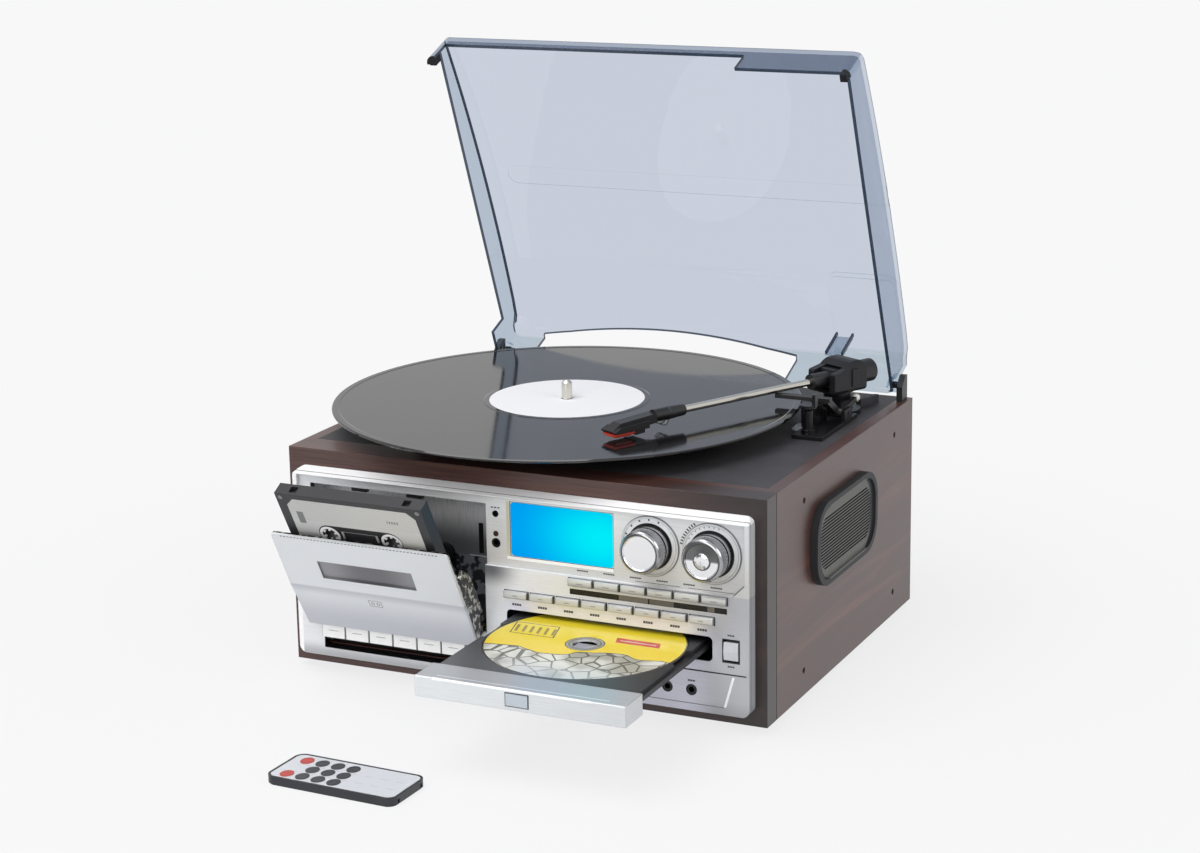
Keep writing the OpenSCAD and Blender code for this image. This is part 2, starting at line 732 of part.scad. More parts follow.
module holder_side(x0) {
    difference() {
        side_plate(x0, x0 + arm_t) polygon([[door_y + door_t - e, door_z0 + 2],
            [door_y + door_t - e, tape_z + 46], [0, tape_z + 50], [5, tape_z + 40],
            [5, hinge_z - 3], [hinge_y, hinge_z - 3.5], [hinge_y - 3, hinge_z - 2],
            [hinge_y - 3, hinge_z + 3], [hinge_y, hinge_z + 8], [hinge_y - 4, shelf_z]]);
        bar_x(hinge_y, hinge_z, lip_r, x0 - 1, x0 + arm_t + 1);
    }
    // Neck down to the pivot, behind the lip of the panel
    side_plate(x0, x0 + arm_t) polygon([[hinge_y - 0.2, hinge_z], [hinge_y + 3, hinge_z],
        [hinge_y + 3, hinge_z + lip_r + 2], [hinge_y - 0.2, hinge_z + lip_r + 2]]);
    bar_x(hinge_y, hinge_z, 3, x0, x0 + arm_t);
}

module cassette_door() {
    fold_z = door_z0 + 36;
    side_in = door_x0 + 1.2;
    color("#c4c6cb") placed() swung_door() {
        difference() {
            intersection() {
                side_plate(door_x0, door_x1) polygon([[door_y, door_z0], [door_y - 0.8, fold_z],
                    [door_y + 0.2, door_z1], [door_y + 0.2 + door_t, door_z1],
                    [door_y + door_t, fold_z], [door_y + door_t, door_z0]]);
                // Sides drawn in below the fold
                translate([0, 10, 0]) rotate([90, 0, 0]) linear_extrude(40) polygon([[door_x0 + 1.2,
                    door_z0], [door_x0, fold_z], [door_x0, door_z1 - 1], [door_x0 + 1, door_z1],
                    [door_x1 - 1, door_z1], [door_x1, door_z1 - 1], [door_x1, fold_z],
                    [door_x1 - 1.2, door_z0]]);
            }
            // Window
            span([tape_x - 34, door_y - 2, fold_z + 9], [tape_x + 31, door_y + 0.6,
                fold_z + 23]);
        }
        // Holder behind the door: two sides, a shelf and lips at the back
        holder_side(side_in);
        holder_side(door_x1 - 1.2 - arm_t);
        span([side_in, door_y + door_t - e, shelf_z], [door_x1 - 1.2, 5, shelf_z + shelf_t]);
        for (x = [side_in, door_x1 - 1.2 - 12])
            span([x, tape_y + tape_t + gap, shelf_z], [x + 12, 5.2, tape_z + 38]);
        // Pivot pins
        bar_x(hinge_y, hinge_z, 1.6, bay_x0 - 1.4, side_in + 1);
        bar_x(hinge_y, hinge_z, 1.6, door_x1 - 1.2 - 1, bay_x1 + 0.2);
    }
}

module cassette() {
    z0 = tape_z + tape_lift;
    x0 = tape_x - tape_w / 2;
    x1 = tape_x + tape_w / 2;
    color("#3a3a3c") placed() swung_door() difference() {
        union() {
            span([x0, tape_y, z0], [x1, tape_y + tape_t, z0 + tape_h]);
            // Thicker part at the tape's opening
            side_plate(x0 + 17, x1 - 17) polygon([[tape_y - 1.4, z0], [tape_y - 1.4, z0 + 13],
                [tape_y, z0 + 16], [tape_y, z0]]);
        }
        // Hub holes, tape window and the slots along the lower edge
        for (s = [-1, 1])
            bar_y(tape_x + s * hub_gap / 2, z0 + hub_up, 5.2, tape_y - 3, tape_y + tape_t + 1);
        span([tape_x - 11, tape_y - 1, z0 + hub_up - 4], [tape_x + 11, tape_y + 1.2,
            z0 + hub_up + 4]);
        for (x = [-38, -24, 0, 24, 38])
            span([tape_x + x - 5, tape_y + 2, z0 - 1], [tape_x + x + 5, tape_y + tape_t - 2,
                z0 + 5]);
        // Holes of the two record tabs on the top edge
        for (x = [x0 + 9, x1 - 14])
            span([x, tape_y + 2, z0 + tape_h - 3], [x + 5, tape_y + tape_t - 2, z0 + tape_h + 1]);
    }
}

module reel_drive(s) {
    hub_z = tape_z + hub_up;
    tip_y = tape_y + tape_t + 0.8;
    color("#242426") placed() translate([tape_x + s * hub_gap / 2, 0, hub_z]) {
        bar_y(0, 0, 2, mech_y - 5, mech_y + 8);
        bar_y(0, 0, 7, mech_y - 6, mech_y - 2 - gap);
        bar_y(0, 0, 3, tip_y, mech_y - 5);
        for (a = [0:120:240])
            rotate([0, a, 0]) span([2.5, tip_y + 1.5, -0.6], [4.4, mech_y - 5, 0.6]);
    }
}

module reel_drive_left() {
    reel_drive(-1);
}

module reel_drive_right() {
    reel_drive(1);
}

module piano_key(i) {
    x0 = key_x0 + i * key_pitch + fit / 2;
    w = key_pitch - fit;
    color("#d3d5da") placed() difference() {
        union() {
            side_plate(x0, x0 + w) polygon([[key_y, key_z0], [key_y, key_z0 + key_h - 1.6],
                [key_y + 1.6, key_z0 + key_h], [face_y + 3, key_z0 + key_h],
                [face_y + 3, key_z0]]);
            side_plate(x0 + 2, x0 + w - 2) polygon([[face_y + 2, key_z0 + 2],
                [face_y + 2, key_z0 + key_h - 1], [key_axle_y, key_axle_z + 3],
                [key_axle_y, key_axle_z - 3]]);
            bar_x(key_axle_y, key_axle_z, 3, x0 + 2, x0 + w - 2);
        }
        bar_x(key_axle_y, key_axle_z, key_axle_r + run, x0 - 1, x0 + w + 1);
    }
}

module key_1() {
    piano_key(0);
}

module key_2() {
    piano_key(1);
}

module key_3() {
    piano_key(2);
}

module key_4() {
    piano_key(3);
}

module key_5() {
    piano_key(4);
}

module key_6() {
    piano_key(5);
}

// Button cap with a rounded front, a flange behind the panel and a stem to its switch
module push_button(x0, z0, w, h) {
    y0 = face_y - button_out;
    difference() {
        union() {
            span([x0, y0 + 0.6, z0], [x0 + w, back_y + 1.4, z0 + h]);
            span([x0 + 0.5, y0, z0 + 0.5], [x0 + w - 0.5, y0 + 1, z0 + h - 0.5]);
            span([x0, back_y + fit, z0 - 0.9], [x0 + w, back_y + 1.4, z0 + h + 0.9]);
            span([x0 + w / 2 - stem_h / 2, back_y + 0.8, z0 + h / 2 - stem_h / 2],
                [x0 + w / 2 + stem_h / 2, 1 - button_travel - 0.1, z0 + h / 2 + stem_h / 2]);
        }
        span([x0 + 1.2, y0 + 1.8, z0 + 1], [x0 + w - 1.2, back_y - 1, z0 + h - 1]);
    }
}

module top_button(i) {
    color("#d8d8d6") placed() push_button(top_x0 + i * top_pitch, top_z0, top_w, top_h);
}

module lower_button(i) {
    color("#dcdad2") placed() push_button(low_x0 + i * low_pitch, low_z0, low_w, low_h);
}

module top_button_1() {
    top_button(0);
}

module top_button_2() {
    top_button(1);
}

module top_button_3() {
    top_button(2);
}

module top_button_4() {
    top_button(3);
}

module top_button_5() {
    top_button(4);
}

module top_button_6() {
    top_button(5);
}

module lower_button_1() {
    lower_button(0);
}

module lower_button_2() {
    lower_button(1);
}

module lower_button_3() {
    lower_button(2);
}

module lower_button_4() {
    lower_button(3);
}

module lower_button_5() {
    lower_button(4);
}

module lower_button_6() {
    lower_button(5);
}

module lower_button_7() {
    lower_button(6);
}

module lower_button_8() {
    lower_button(7);
}

// Turned knob: skirt, dark neck and a domed cap, on a shaft through the panel
module knob(x) {
    translate([x, sunk_y - 0.5, knob_z]) rotate([90, 0, 0]) {
        difference() {
            rotate_extrude() polygon([[0, 0], [knob_r, 0], [knob_r, 5.4], [knob_r - 0.8, 5.8],
                [knob_r - 0.8, 6.6], [knob_r, 7], [knob_r, knob_l - 1.4],
                [knob_r - 0.7, knob_l - 0.3], [knob_r - 1.6, knob_l], [knob_r - 2.6, knob_l],
                [knob_r - 3, knob_l - 0.8], [0, knob_l - 0.8]]);
            for (a = [0:10:350])
                rotate([0, 0, a]) translate([knob_r + 0.35, 0, 8]) cylinder(r = 0.6,
                    h = knob_l - 11);
        }
        translate([0, 0, sunk_y - 0.5 - board_y - 11]) cylinder(r = shaft_r,
            h = board_y + 11.6 - sunk_y);
    }
}

module selector_knob() {
    color("#b9bcc2") placed() knob(knob_x[0]);
}

module tuning_knob() {
    color("#b9bcc2") placed() union() {
        knob(knob_x[1]);
        translate([knob_x[1], sunk_y - 0.5 - knob_l + 1, knob_z]) rotate([90, 0, 0])
            rotate_extrude() polygon([[0, 0], [5, 0], [4.6, 0.8], [3, 1.3], [0, 1.5]]);
    }
}

module power_switch() {
    x1 = power_x0 + power_w;
    mid_z = power_z0 + power_h / 2;
    color("#d5d7db") placed() {
        side_plate(power_x0, x1) polygon([[face_y - 1.6, mid_z], [face_y - 0.6,
            power_z0 + power_h - 0.7], [back_y + 1.5, power_z0 + power_h - 1.6],
            [back_y + 1.5, power_z0 + 1.6], [face_y - 0.6, power_z0 + 0.7]]);
        bar_x(back_y + 3, mid_z, 2, power_x0 + 1, x1 - 1);
        span([power_x0 + 1, back_y + 1, mid_z - 2], [x1 - 1, back_y + 3, mid_z + 2]);
    }
}

module disc_tray() {
    front_y = face_y + block_d - drawer_out;
    color("#2e2f32") placed() difference() {
        union() {
            span([slot_x - tray_w / 2, front_y, tray_z0], [slot_x + tray_w / 2, tray_back,
                tray_z1]);
            // Side runners
            span([slot_x - tray_w / 2 - 2, front_y + 4, tray_z0 + 1.6],
                [slot_x + tray_w / 2 + 2, tray_back, tray_z0 + 4.4]);
        }
        // Seat of the disc, the smaller seat inside it and the drive's opening
        translate([slot_x, disc_y, disc_z]) cylinder(r = disc_d / 2 + gap + 0.2, h = 10);
        translate([slot_x, disc_y, disc_z - 1.2]) cylinder(r = 40.4, h = 10);
        translate([slot_x, disc_y, tray_z0 - 1]) cylinder(r = 18, h = 10);
        span([slot_x - 13, disc_y, tray_z0 - 1], [slot_x + 13, disc_y + 44, tray_z1 + 1]);
        // Finger notches at the sides of the disc
        for (s = [-1, 1])
            translate([slot_x + s * (tray_w / 2 + 6), disc_y, disc_z - 1.5])
                cylinder(r = 14, h = 10);
    }
}

module tray_front() {
    front_y = face_y - drawer_out;
    z1 = drawer_z0 + drawer_h;
    mid_x = slot_x - 1;
    color("#c2c4ca") placed() difference() {
        union() {
            side_plate(slot_x - drawer_w / 2, slot_x + drawer_w / 2) polygon([[front_y, drawer_z0],
                [front_y, z1 - 0.5], [front_y + 0.5, z1], [front_y + block_d, z1],
                [front_y + block_d, drawer_z0]]);
        }
        // Hollow behind, long finger bevel on top and the pocket of the button
        span([slot_x - drawer_w / 2 + 2.5, front_y + 3, drawer_z0 - 1],
            [slot_x + drawer_w / 2 - 2.5, front_y + block_d - 2.5, z1 - 2]);
        side_plate(mid_x - 54, mid_x + 46) polygon([[front_y - 1, z1 - 2], [front_y - 1, z1 + 1],
            [front_y + 2, z1 + 1]]);
        span([mid_x - 6.8 - fit, front_y - 1, drawer_z0 + 2.8 - fit],
            [mid_x + 6.8 + fit, front_y + 6, drawer_z0 + 9.8 + fit]);
    }
}

module eject_button() {
    front_y = face_y - drawer_out;
    mid_x = slot_x - 1;
    color("#a9b4c6") placed() {
        span([mid_x - 6.8, front_y - 0.6, drawer_z0 + 2.8], [mid_x + 6.8, front_y + 3.2,
            drawer_z0 + 9.8]);
        span([mid_x - 8.5, front_y + 3.2 - e, drawer_z0 + 1.8], [mid_x + 8.5, front_y + 4.4,
            drawer_z0 + drawer_h - 2.4]);
    }
}

module disc() {
    color("#f2d728") placed() translate([slot_x, disc_y, disc_z]) difference() {
        cylinder(r = disc_d / 2, h = disc_t, $fn = 96);
        translate([0, 0, -1]) cylinder(r = 7.5, h = 4);
    }
}

module platter() {
    color("#1e1e20") placed() translate([spin_x, spin_y, 0]) {
        rotate_extrude($fn = 96) polygon([[0, platter_z0 + 5.5], [ring_belt_r - 4, platter_z0 + 5.5],
            [ring_belt_r - 4, cab_h + 1], [ring_belt_r, cab_h + 1], [ring_belt_r,
            platter_z0 + 5.5], [platter_r - 5, platter_z0 + 5.5], [platter_r - 5,
            platter_z0], [platter_r - 0.8, platter_z0], [platter_r, platter_z0 + 0.8],
            [platter_r, record_z - 0.8], [platter_r - 0.8, record_z], [0, record_z]]);
        translate([0, 0, cab_h - 23]) cylinder(r = journal_r, h = 23 + record_up);
        translate([0, 0, record_z]) rotate_extrude() polygon([[0, 0], [journal_r, 0],
            [journal_r, record_t + gap], [spindle_r, record_t + gap],
            [spindle_r, record_t + spindle_up - 1.5], [spindle_r - 1.4,
            record_t + spindle_up], [0, record_t + spindle_up]]);
        translate([0, 0, cab_h + 0.8]) cylinder(r = 12, h = platter_z0 - cab_h + 5);
    }
}

module record() {
    hole_r = journal_r + run;
    color("#141416") placed() translate([spin_x, spin_y, record_z])
        rotate_extrude($fn = 96) polygon([[hole_r, 0], [record_d / 2 - 0.6, 0], [record_d / 2, 0.6],
            [record_d / 2, 1.4], [record_d / 2 - 0.6, record_t], [record_d / 2 - 4, record_t],
            [record_d / 2 - 5, record_t - 0.3], [54, record_t - 0.3], [53, record_t],
            [hole_r, record_t]]);
}

module platter_motor() {
    z1 = cab_h - deck_t;
    color("#8d9094") placed() translate([motor_x, motor_y, 0]) difference() {
        union() {
            translate([0, 0, z1 - 26]) cylinder(r = 15, h = 26);
            translate([0, 0, z1 - 30]) cylinder(r = 4, h = 5);
            translate([-24, -6, z1 - 2]) cube([48, 12, 2]);
        }
        translate([0, 0, z1 - 20]) cylinder(r = 1.5 + run, h = 30);
        for (x = [-20, 20])
            translate([x, 0, z1 - 4]) cylinder(r = 1.6, h = 6);
    }
}

module motor_pulley() {
    color("#b08d57") placed() translate([motor_x, motor_y, 0]) {
        translate([0, 0, cab_h - deck_t - 19]) cylinder(r = 1.5, h = 24);
        translate([0, 0, cab_h + 0.8]) rotate_extrude() polygon([[0, 0], [pulley_r + 0.9, 0],
            [pulley_r + 0.9, 0.6], [pulley_r, 1.2], [pulley_r, 5.2], [pulley_r + 0.9, 5.8],
            [pulley_r + 0.9, 6.2], [0, 6.2]]);
    }
}

// Area inside a belt that runs round two circles a distance d apart
module belt_area(r1, r2, d) {
    hull() {
        circle(r1, $fn = 120);
        translate([d, 0]) circle(r2, $fn = 48);
    }
}

module drive_belt() {
    color("#101010") placed() translate([spin_x, spin_y, belt_z]) rotate([0, 0, motor_a])
        linear_extrude(belt_h) difference() {
            belt_area(ring_belt_r + gap + 1, pulley_r + gap + 1, motor_d);
            belt_area(ring_belt_r + gap, pulley_r + gap, motor_d);
        }
}

// Puts children at the arm's pivot, with X across and Y towards the back
module at_arm() {
    placed() translate([arm_x, arm_y, 0]) children();
}

// Turns children so that the arm points along its playing direction
module along_arm() {
    at_arm() rotate([0, 0, -arm_in]) children();
}

module tonearm_base() {
    color("#202022") at_arm() difference() {
        union() {
            translate([0, 0, cab_h]) cylinder(r = 15, h = 3);
            translate([0, 0, cab_h]) rotate_extrude() polygon([[2, 0], [12, 0], [9.5, 4],
                [9, yoke_z0 - cab_h - gap], [2, yoke_z0 - cab_h - gap]]);
            // Foot plate towards the front, with the post of the arm rest
            span([-3, -rest_r - 8, cab_h], [17, -10, cab_h + 2.6]);
            rotate([0, 0, arm_out]) {
                translate([0, -rest_r, cab_h]) cylinder(r = 4.2, h = 5);
                translate([0, -rest_r, cab_h]) cylinder(r = 3, h = arm_up - tube_r - 3);
                translate([0, -rest_r, arm_z - tube_r - 4]) rotate_extrude() polygon([[0, 0],
                    [3, 0], [5.4, 1.6], [5.4, 3.6], [0, 3.6]]);
                // Stop on the outer side, open towards the record
                translate([3.4, -rest_r - 3, arm_z - tube_r - 1.4]) cube([2, 6, 8]);
            }
            // Housing of the lift, and two ears that carry its lever
            span([-6, -50, cab_h], [3, -32, cab_h + 14]);
            for (x = [3, 15])
                span([x, -34, cab_h + 2], [x + 2.4, -22, cab_h + 10]);
        }
        translate([0, 0, cab_h - 1]) cylinder(r = 4, h = 30);
        bar_x(-28, cab_h + 7, 1.2 + run, 0, 20);
    }
}

module tonearm_yoke() {
    top_z = yoke_z0 + yoke_h;
    color("#1b1b1d") along_arm() difference() {
        union() {
            translate([0, 0, yoke_z0]) cylinder(r = yoke_r, h = 4);
            // Rounded block, low in front and humped over the pivot, with a rib on each side
            intersection() {
                side_plate(-yoke_w / 2, yoke_w / 2) offset(r = 1.5, $fn = 24) offset(delta = -1.5)
                    polygon([[-14, yoke_z0], [-14, top_z - 6.5], [-4, top_z - 4.5],
                        [1, top_z - 0.8], [4, top_z], [9, top_z], [14, top_z - 5],
                        [14, yoke_z0]]);
                translate([0, 15, yoke_z0 + yoke_h / 2]) rotate([90, 0, 0]) linear_extrude(30)
                    offset(r = 3.5, $fn = 24) square([yoke_w - 7, yoke_h - 7], center = true);
            }
            span([-yoke_w / 2 - 0.8, 1, yoke_z0 + 4], [yoke_w / 2 + 0.8, 6, top_z - 5]);
            translate([0, 0, cab_h + 4]) cylinder(r = 4 - run, h = yoke_z0 - cab_h - 3);
        }
        // Way for the tube and its pivot block
        translate([-7.5, -20, arm_z - 7.5]) cube([15, 40, 15]);
        bar_x(0, arm_z, 1.5 + run, -yoke_w / 2 + 1.5, yoke_w / 2 - 1.5);
    }
}

module tonearm_tube() {
    color("#b9b9b4") along_arm() {
        bar_y(0, arm_z, tube_r, -arm_l + head_l - 8, 6);
        // Pivot block, collar and counterweight
        translate([-6, -9, arm_z - 6]) cube([12, 18, 12]);
        bar_y(0, arm_z, 5, -24, -8);
        bar_y(0, arm_z, 4, 8, 16);
        bar_y(0, arm_z, 7.5, 15.4, 28.5);
        bar_x(0, arm_z, 1.5, -yoke_w / 2 + 2, yoke_w / 2 - 2);
    }
}

module headshell() {
    tip_z = cab_h + record_up + gap;
    color("#17171a") along_arm() {
        // Collar round the tube
        difference() {
            bar_y(0, arm_z, 4, -arm_l + head_l - 12, -arm_l + head_l);
            bar_y(0, arm_z, tube_r + run, -arm_l + head_l - 9, -arm_l + head_l + 1);
        }
        // Tapering shell with its finger edge, the cartridge and the stylus
        translate([0, -arm_l, 0]) {
            side_plate(-4, 4) polygon([[-5, arm_z - 3.4], [2, arm_z + 0.6], [30, arm_z + 2.4],
                [30.5, arm_z - 3.4], [20, arm_z - 4.2]]);
            side_plate(-7, 7) polygon([[-5, arm_z - 3.6], [0, arm_z - 1.4], [22, arm_z],
                [22, arm_z - 4.8], [-4, arm_z - 4.8]]);
            side_plate(-6, 6) polygon([[-4, arm_z - 4.7], [19, arm_z - 4.7], [19,
                tip_z + 1.6], [12, tip_z + 1.2], [11, tip_z + 2.6], [-4, tip_z + 2.6]]);
            side_plate(-4, 4) polygon([[-4.4, tip_z + 2.2], [-4.4, tip_z + 2.7], [11,
                tip_z + 2.7], [10, tip_z + 1.1], [-1, tip_z + 1.1]]);
            translate([0, 0, tip_z]) cylinder(r1 = 0.2, r2 = 0.7, h = 1.3, $fn = 24);
        }
    }
}

// Lever with a lift bar under the arm and a pale tip behind
module cue_lever() {
    axle_z = cab_h + 7;
    bar_top = arm_z - tube_r - 0.4;
    color("#232325") at_arm() {
        bar_x(-28, axle_z, 1.2, 3.4, 17);
        bar_x(-28, axle_z, 3, 6, 14);
        side_plate(7, 11) polygon([[-30, axle_z - 1], [-26, axle_z + 2], [-lift_r + 2,
            bar_top - 1], [-lift_r - 2, bar_top - 1], [-lift_r - 2, bar_top - 4]]);
        side_plate(-25, 12) polygon([[-lift_r - 2, bar_top - 3], [-lift_r - 2, bar_top - 0.6],
            [-lift_r - 1.2, bar_top], [-lift_r + 1.2, bar_top], [-lift_r + 2, bar_top - 0.6],
            [-lift_r + 2, bar_top - 3]]);
        side_plate(11.5, 14) polygon([[-29, axle_z - 1.5], [-29, axle_z + 2], [0, axle_z + 5],
            [0, axle_z + 2]]);
        translate([12.7, 0, axle_z + 3.5]) sphere(2.6, $fn = 32);
    }
}

// Turns the closed cover to its open place
module swung_cover() {
    translate([0, hinge_cy, hinge_cz]) rotate([-cover_open, 0, 0])
        translate([0, -hinge_cy, -hinge_cz]) children();
}

// Closed cover as one block, shrunk by t on every side but the rim
module cover_block(t) {
    mid_y = (cover_y0 + cover_y1) / 2;
    half = (cover_y1 - cover_y0) / 2;
    big_r = (half * half + crown * crown) / (2 * crown);
    top_z = cover_z0 + cover_h + crown;
    intersection() {
        translate([(cover_x0 + cover_x1) / 2, mid_y, cover_z0 - 1]) linear_extrude(60)
            round_rect(cover_x1 - cover_x0 - 2 * t, cover_y1 - cover_y0 - 2 * t, 6 - t);
        bar_x(mid_y + 14.8, top_z - big_r, big_r - t, cover_x0 - 1, cover_x1 + 1);
        span([cover_x0 - 2, cover_y0 - 2, cover_z0 - (t > 0 ? 1 : 0)],
            [cover_x1 + 2, cover_y1 + 2, top_z + 1]);
    }
}

// Blister in the cover that clears the back of the arm
module blister(t) {
    z0 = cover_z0 + 15;
    translate([arm_x - 0.3, arm_y + 11, z0]) linear_extrude(yoke_z0 + yoke_h + 3 - z0 - t)
        round_rect(50 - 2 * t, 68 - 2 * t, 8 - t);
}

module dust_cover() {
    cut_z = cover_z0 + cut_h;
    foot_x0 = cover_x0 + 26;
    foot_x1 = cover_x1 - 78.2;
    color([0.62, 0.7, 0.78, 0.35]) placed() swung_cover() {
        difference() {
            union() {
                difference() {
                    union() {
                        cover_block(0);
                        blister(0);
                    }
                    cover_block(cover_t);
                    blister(cover_t);
                }
                // Bosses that carry the hinge pins
                for (right = [0, 1])
                    bar_x(hinge_cy, hinge_cz, 5, right ? cover_x1 - 6 : cover_x0,
                        right ? cover_x1 : cover_x0 + 6);
            }
            // Front and left walls cut back, so a full-size record may overhang
            span([cover_x0 + 6.5, cover_y0 - 1, cover_z0 - 2], [cover_x1 - 75.2, cover_y0 + 6.5,
                cut_z]);
            span([cover_x0 - 1, cover_y0 + 6.5, cover_z0 - 2], [cover_x0 + 6.5, cover_y1 - 23,
                cut_z]);
            // Rear wall cut away, with an arch that clears the record when the cover is up
            span([foot_x0, cover_y1 - 8, cover_z0 - 2], [foot_x1, cover_y1 + 2, cut_z]);
            intersection() {
                bar_y((foot_x0 + foot_x1) / 2, hinge_cz - 319.3, 340.6, cover_y1 - 8,
                    cover_y1 + 2);
                span([foot_x0, cover_y1 - 8, cut_z - 1], [foot_x1, cover_y1 + 2,
                    hinge_cz + 17.3]);
            }
            for (right = [0, 1])
                bar_x(hinge_cy, hinge_cz, hinge_pin_r + run, right ? cover_x1 - 8 : cover_x0 - 1,
                    right ? cover_x1 + 1 : cover_x0 + 8);
            // Room for the brackets behind the hinge line
            span([cover_x0 - 1, cover_y1 - 3, cover_z0 - 1], [cover_x1 + 1, cover_y1 + 2,
                cover_z0 + 2]);
            // Long shallow groove across the top
            intersection() {
                translate([(cover_x0 + cover_x1) / 2 + 25, (cover_y0 + cover_y1) / 2 - 10.5,
                    cover_z0]) linear_extrude(60)
                    round_rect(cover_x1 + 10 - cover_x0, 14, 6.9);
                difference() {
                    translate([0, 0, 0]) cover_block(0);
                    translate([0, 0, -0.5]) cover_block(0);
                }
            }
        }
        // Rubber stops inside the front corners
        for (x = [cover_x0 + cover_t - e, cover_x1 - cover_t - 4.5 + e])
            span([x, cover_y0 + cover_t - e, cover_z0 - 0.2], [x + 4.5, cover_y0 + 7,
                cover_z0 + 7]);
    }
}

// Puts children on the remote, with X along it and Z up from the surface
module on_remote() {
    placed() translate([remote_x, remote_y, -foot_h]) rotate([0, 0, remote_turn]) children();
}

module remote_case() {
    color("#2c2d33") on_remote() difference() {
        union() {
            translate([0, 0, 0.8]) linear_extrude(remote_t - 0.8) round_rect(remote_l, remote_w,
                remote_r);
            linear_extrude(0.9) round_rect(remote_l - 1.6, remote_w - 1.6, remote_r - 0.8);
        }
        // Sunk face for the keypad sheet
        translate([0, 0, remote_t - 0.7]) linear_extrude(2) round_rect(remote_l - 2.4,
            remote_w - 2.4, remote_r - 1.2);
        // Notches of the battery drawer at the end
        for (y = [-12, 12])
            translate([remote_l / 2 - 0.8, y - 1, 1.2]) cube([2, 2, 2.4]);
    }
}

module remote_keypad() {
    color("#d4d7dc") on_remote() translate([0, 0, remote_t - 0.7]) {
        linear_extrude(0.6) round_rect(remote_l - 3, remote_w - 3, remote_r - 1.5);
        // Oval keys in four columns; the first column has none in the middle
        for (i = [0:3], s = [-1, 0, 1])
            if (i > 0 || s != 0)
                translate([(i - 3) * remote_pitch - 0.4, s * remote_pitch - 1.1, 0.5])
                    scale([remote_key[0] / remote_key[1], 1, 1])
                        cylinder(r = remote_key[1] / 2, h = 0.5, $fn = 32);
    }
}

front_frame();
side_panels();
rear_panel();
base_board();
feet();
deck_plate();
hinge_brackets();
cabinet_screws();
speaker_grilles();
speakers();
front_panel();
display_module();
control_board();
main_board();
cd_drive();
cassette_mechanism();
dust_cover();
platter();
record();
platter_motor();
motor_pulley();
drive_belt();
tonearm_base();
tonearm_yoke();
tonearm_tube();
headshell();
cue_lever();
cassette_door();
cassette();
reel_drive_left();
reel_drive_right();
key_1();
key_2();
key_3();
key_4();
key_5();
key_6();
top_button_1();
top_button_2();
top_button_3();
top_button_4();
top_button_5();
top_button_6();
lower_button_1();
lower_button_2();
lower_button_3();
lower_button_4();
lower_button_5();
lower_button_6();
lower_button_7();
lower_button_8();
selector_knob();
tuning_knob();
power_switch();
disc_tray();
tray_front();
eject_button();
disc();
remote_case();
remote_keypad();
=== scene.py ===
from math import cos, radians, sin, sqrt

import bmesh
import bpy
from mathutils import Matrix, Vector


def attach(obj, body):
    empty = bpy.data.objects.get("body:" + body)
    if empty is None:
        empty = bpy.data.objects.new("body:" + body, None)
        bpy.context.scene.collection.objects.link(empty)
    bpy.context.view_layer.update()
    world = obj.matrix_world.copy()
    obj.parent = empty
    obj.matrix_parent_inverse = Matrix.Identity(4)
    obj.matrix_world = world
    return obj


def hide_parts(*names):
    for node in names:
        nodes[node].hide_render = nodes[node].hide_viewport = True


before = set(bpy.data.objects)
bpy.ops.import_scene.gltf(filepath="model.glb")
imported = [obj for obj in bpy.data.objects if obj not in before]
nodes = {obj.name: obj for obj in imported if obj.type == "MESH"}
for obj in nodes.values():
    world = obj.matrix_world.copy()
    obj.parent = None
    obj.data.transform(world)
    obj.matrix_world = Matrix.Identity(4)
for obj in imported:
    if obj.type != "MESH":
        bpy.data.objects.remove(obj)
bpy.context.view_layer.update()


# The camera stands where the photograph was taken from: in front, to the right and a little
# above the music centre. Its place and turn were fitted to the record, disc and cassette.
scene = bpy.context.scene


def add_object(name, data):
    thing = bpy.data.objects.new(name, data)
    scene.collection.objects.link(thing)
    return thing


yaw, pitch, roll = (radians(a) for a in (25.539, 14.108, 1.002))
ahead = Vector((-sin(yaw) * cos(pitch), cos(yaw) * cos(pitch), -sin(pitch)))
level = Vector((cos(yaw), sin(yaw), 0))
below = ahead.cross(level)
across = cos(roll) * level + sin(roll) * below
down = cos(roll) * below - sin(roll) * level
lens = bpy.data.cameras.new("photo_camera")
lens.sensor_width, lens.lens = 36, 78.29
lens.shift_x, lens.shift_y = 0.0018, -0.0218
lens.clip_end = 50
camera = add_object("photo_camera", lens)
camera.matrix_world = Matrix.Translation((0.69331, -1.46741, 0.56626)) @ Matrix(
    (across, -down, -ahead)).transposed().to_4x4()
scene.camera = camera
scene.view_settings.view_transform = "Standard"


# The studio: a white room, so bright that it has no visible corner, with soft boxes above,
# in front and to the right. Metal and glass see the same room, darker where the camera is.
def two_sided(operation, swapped=False):
    """A sum such as a + b of two Fields, or of a Field and a number that may come first."""
    def act(self, other):
        return self.maths(operation, *((other, self) if swapped else (self, other)))
    return act


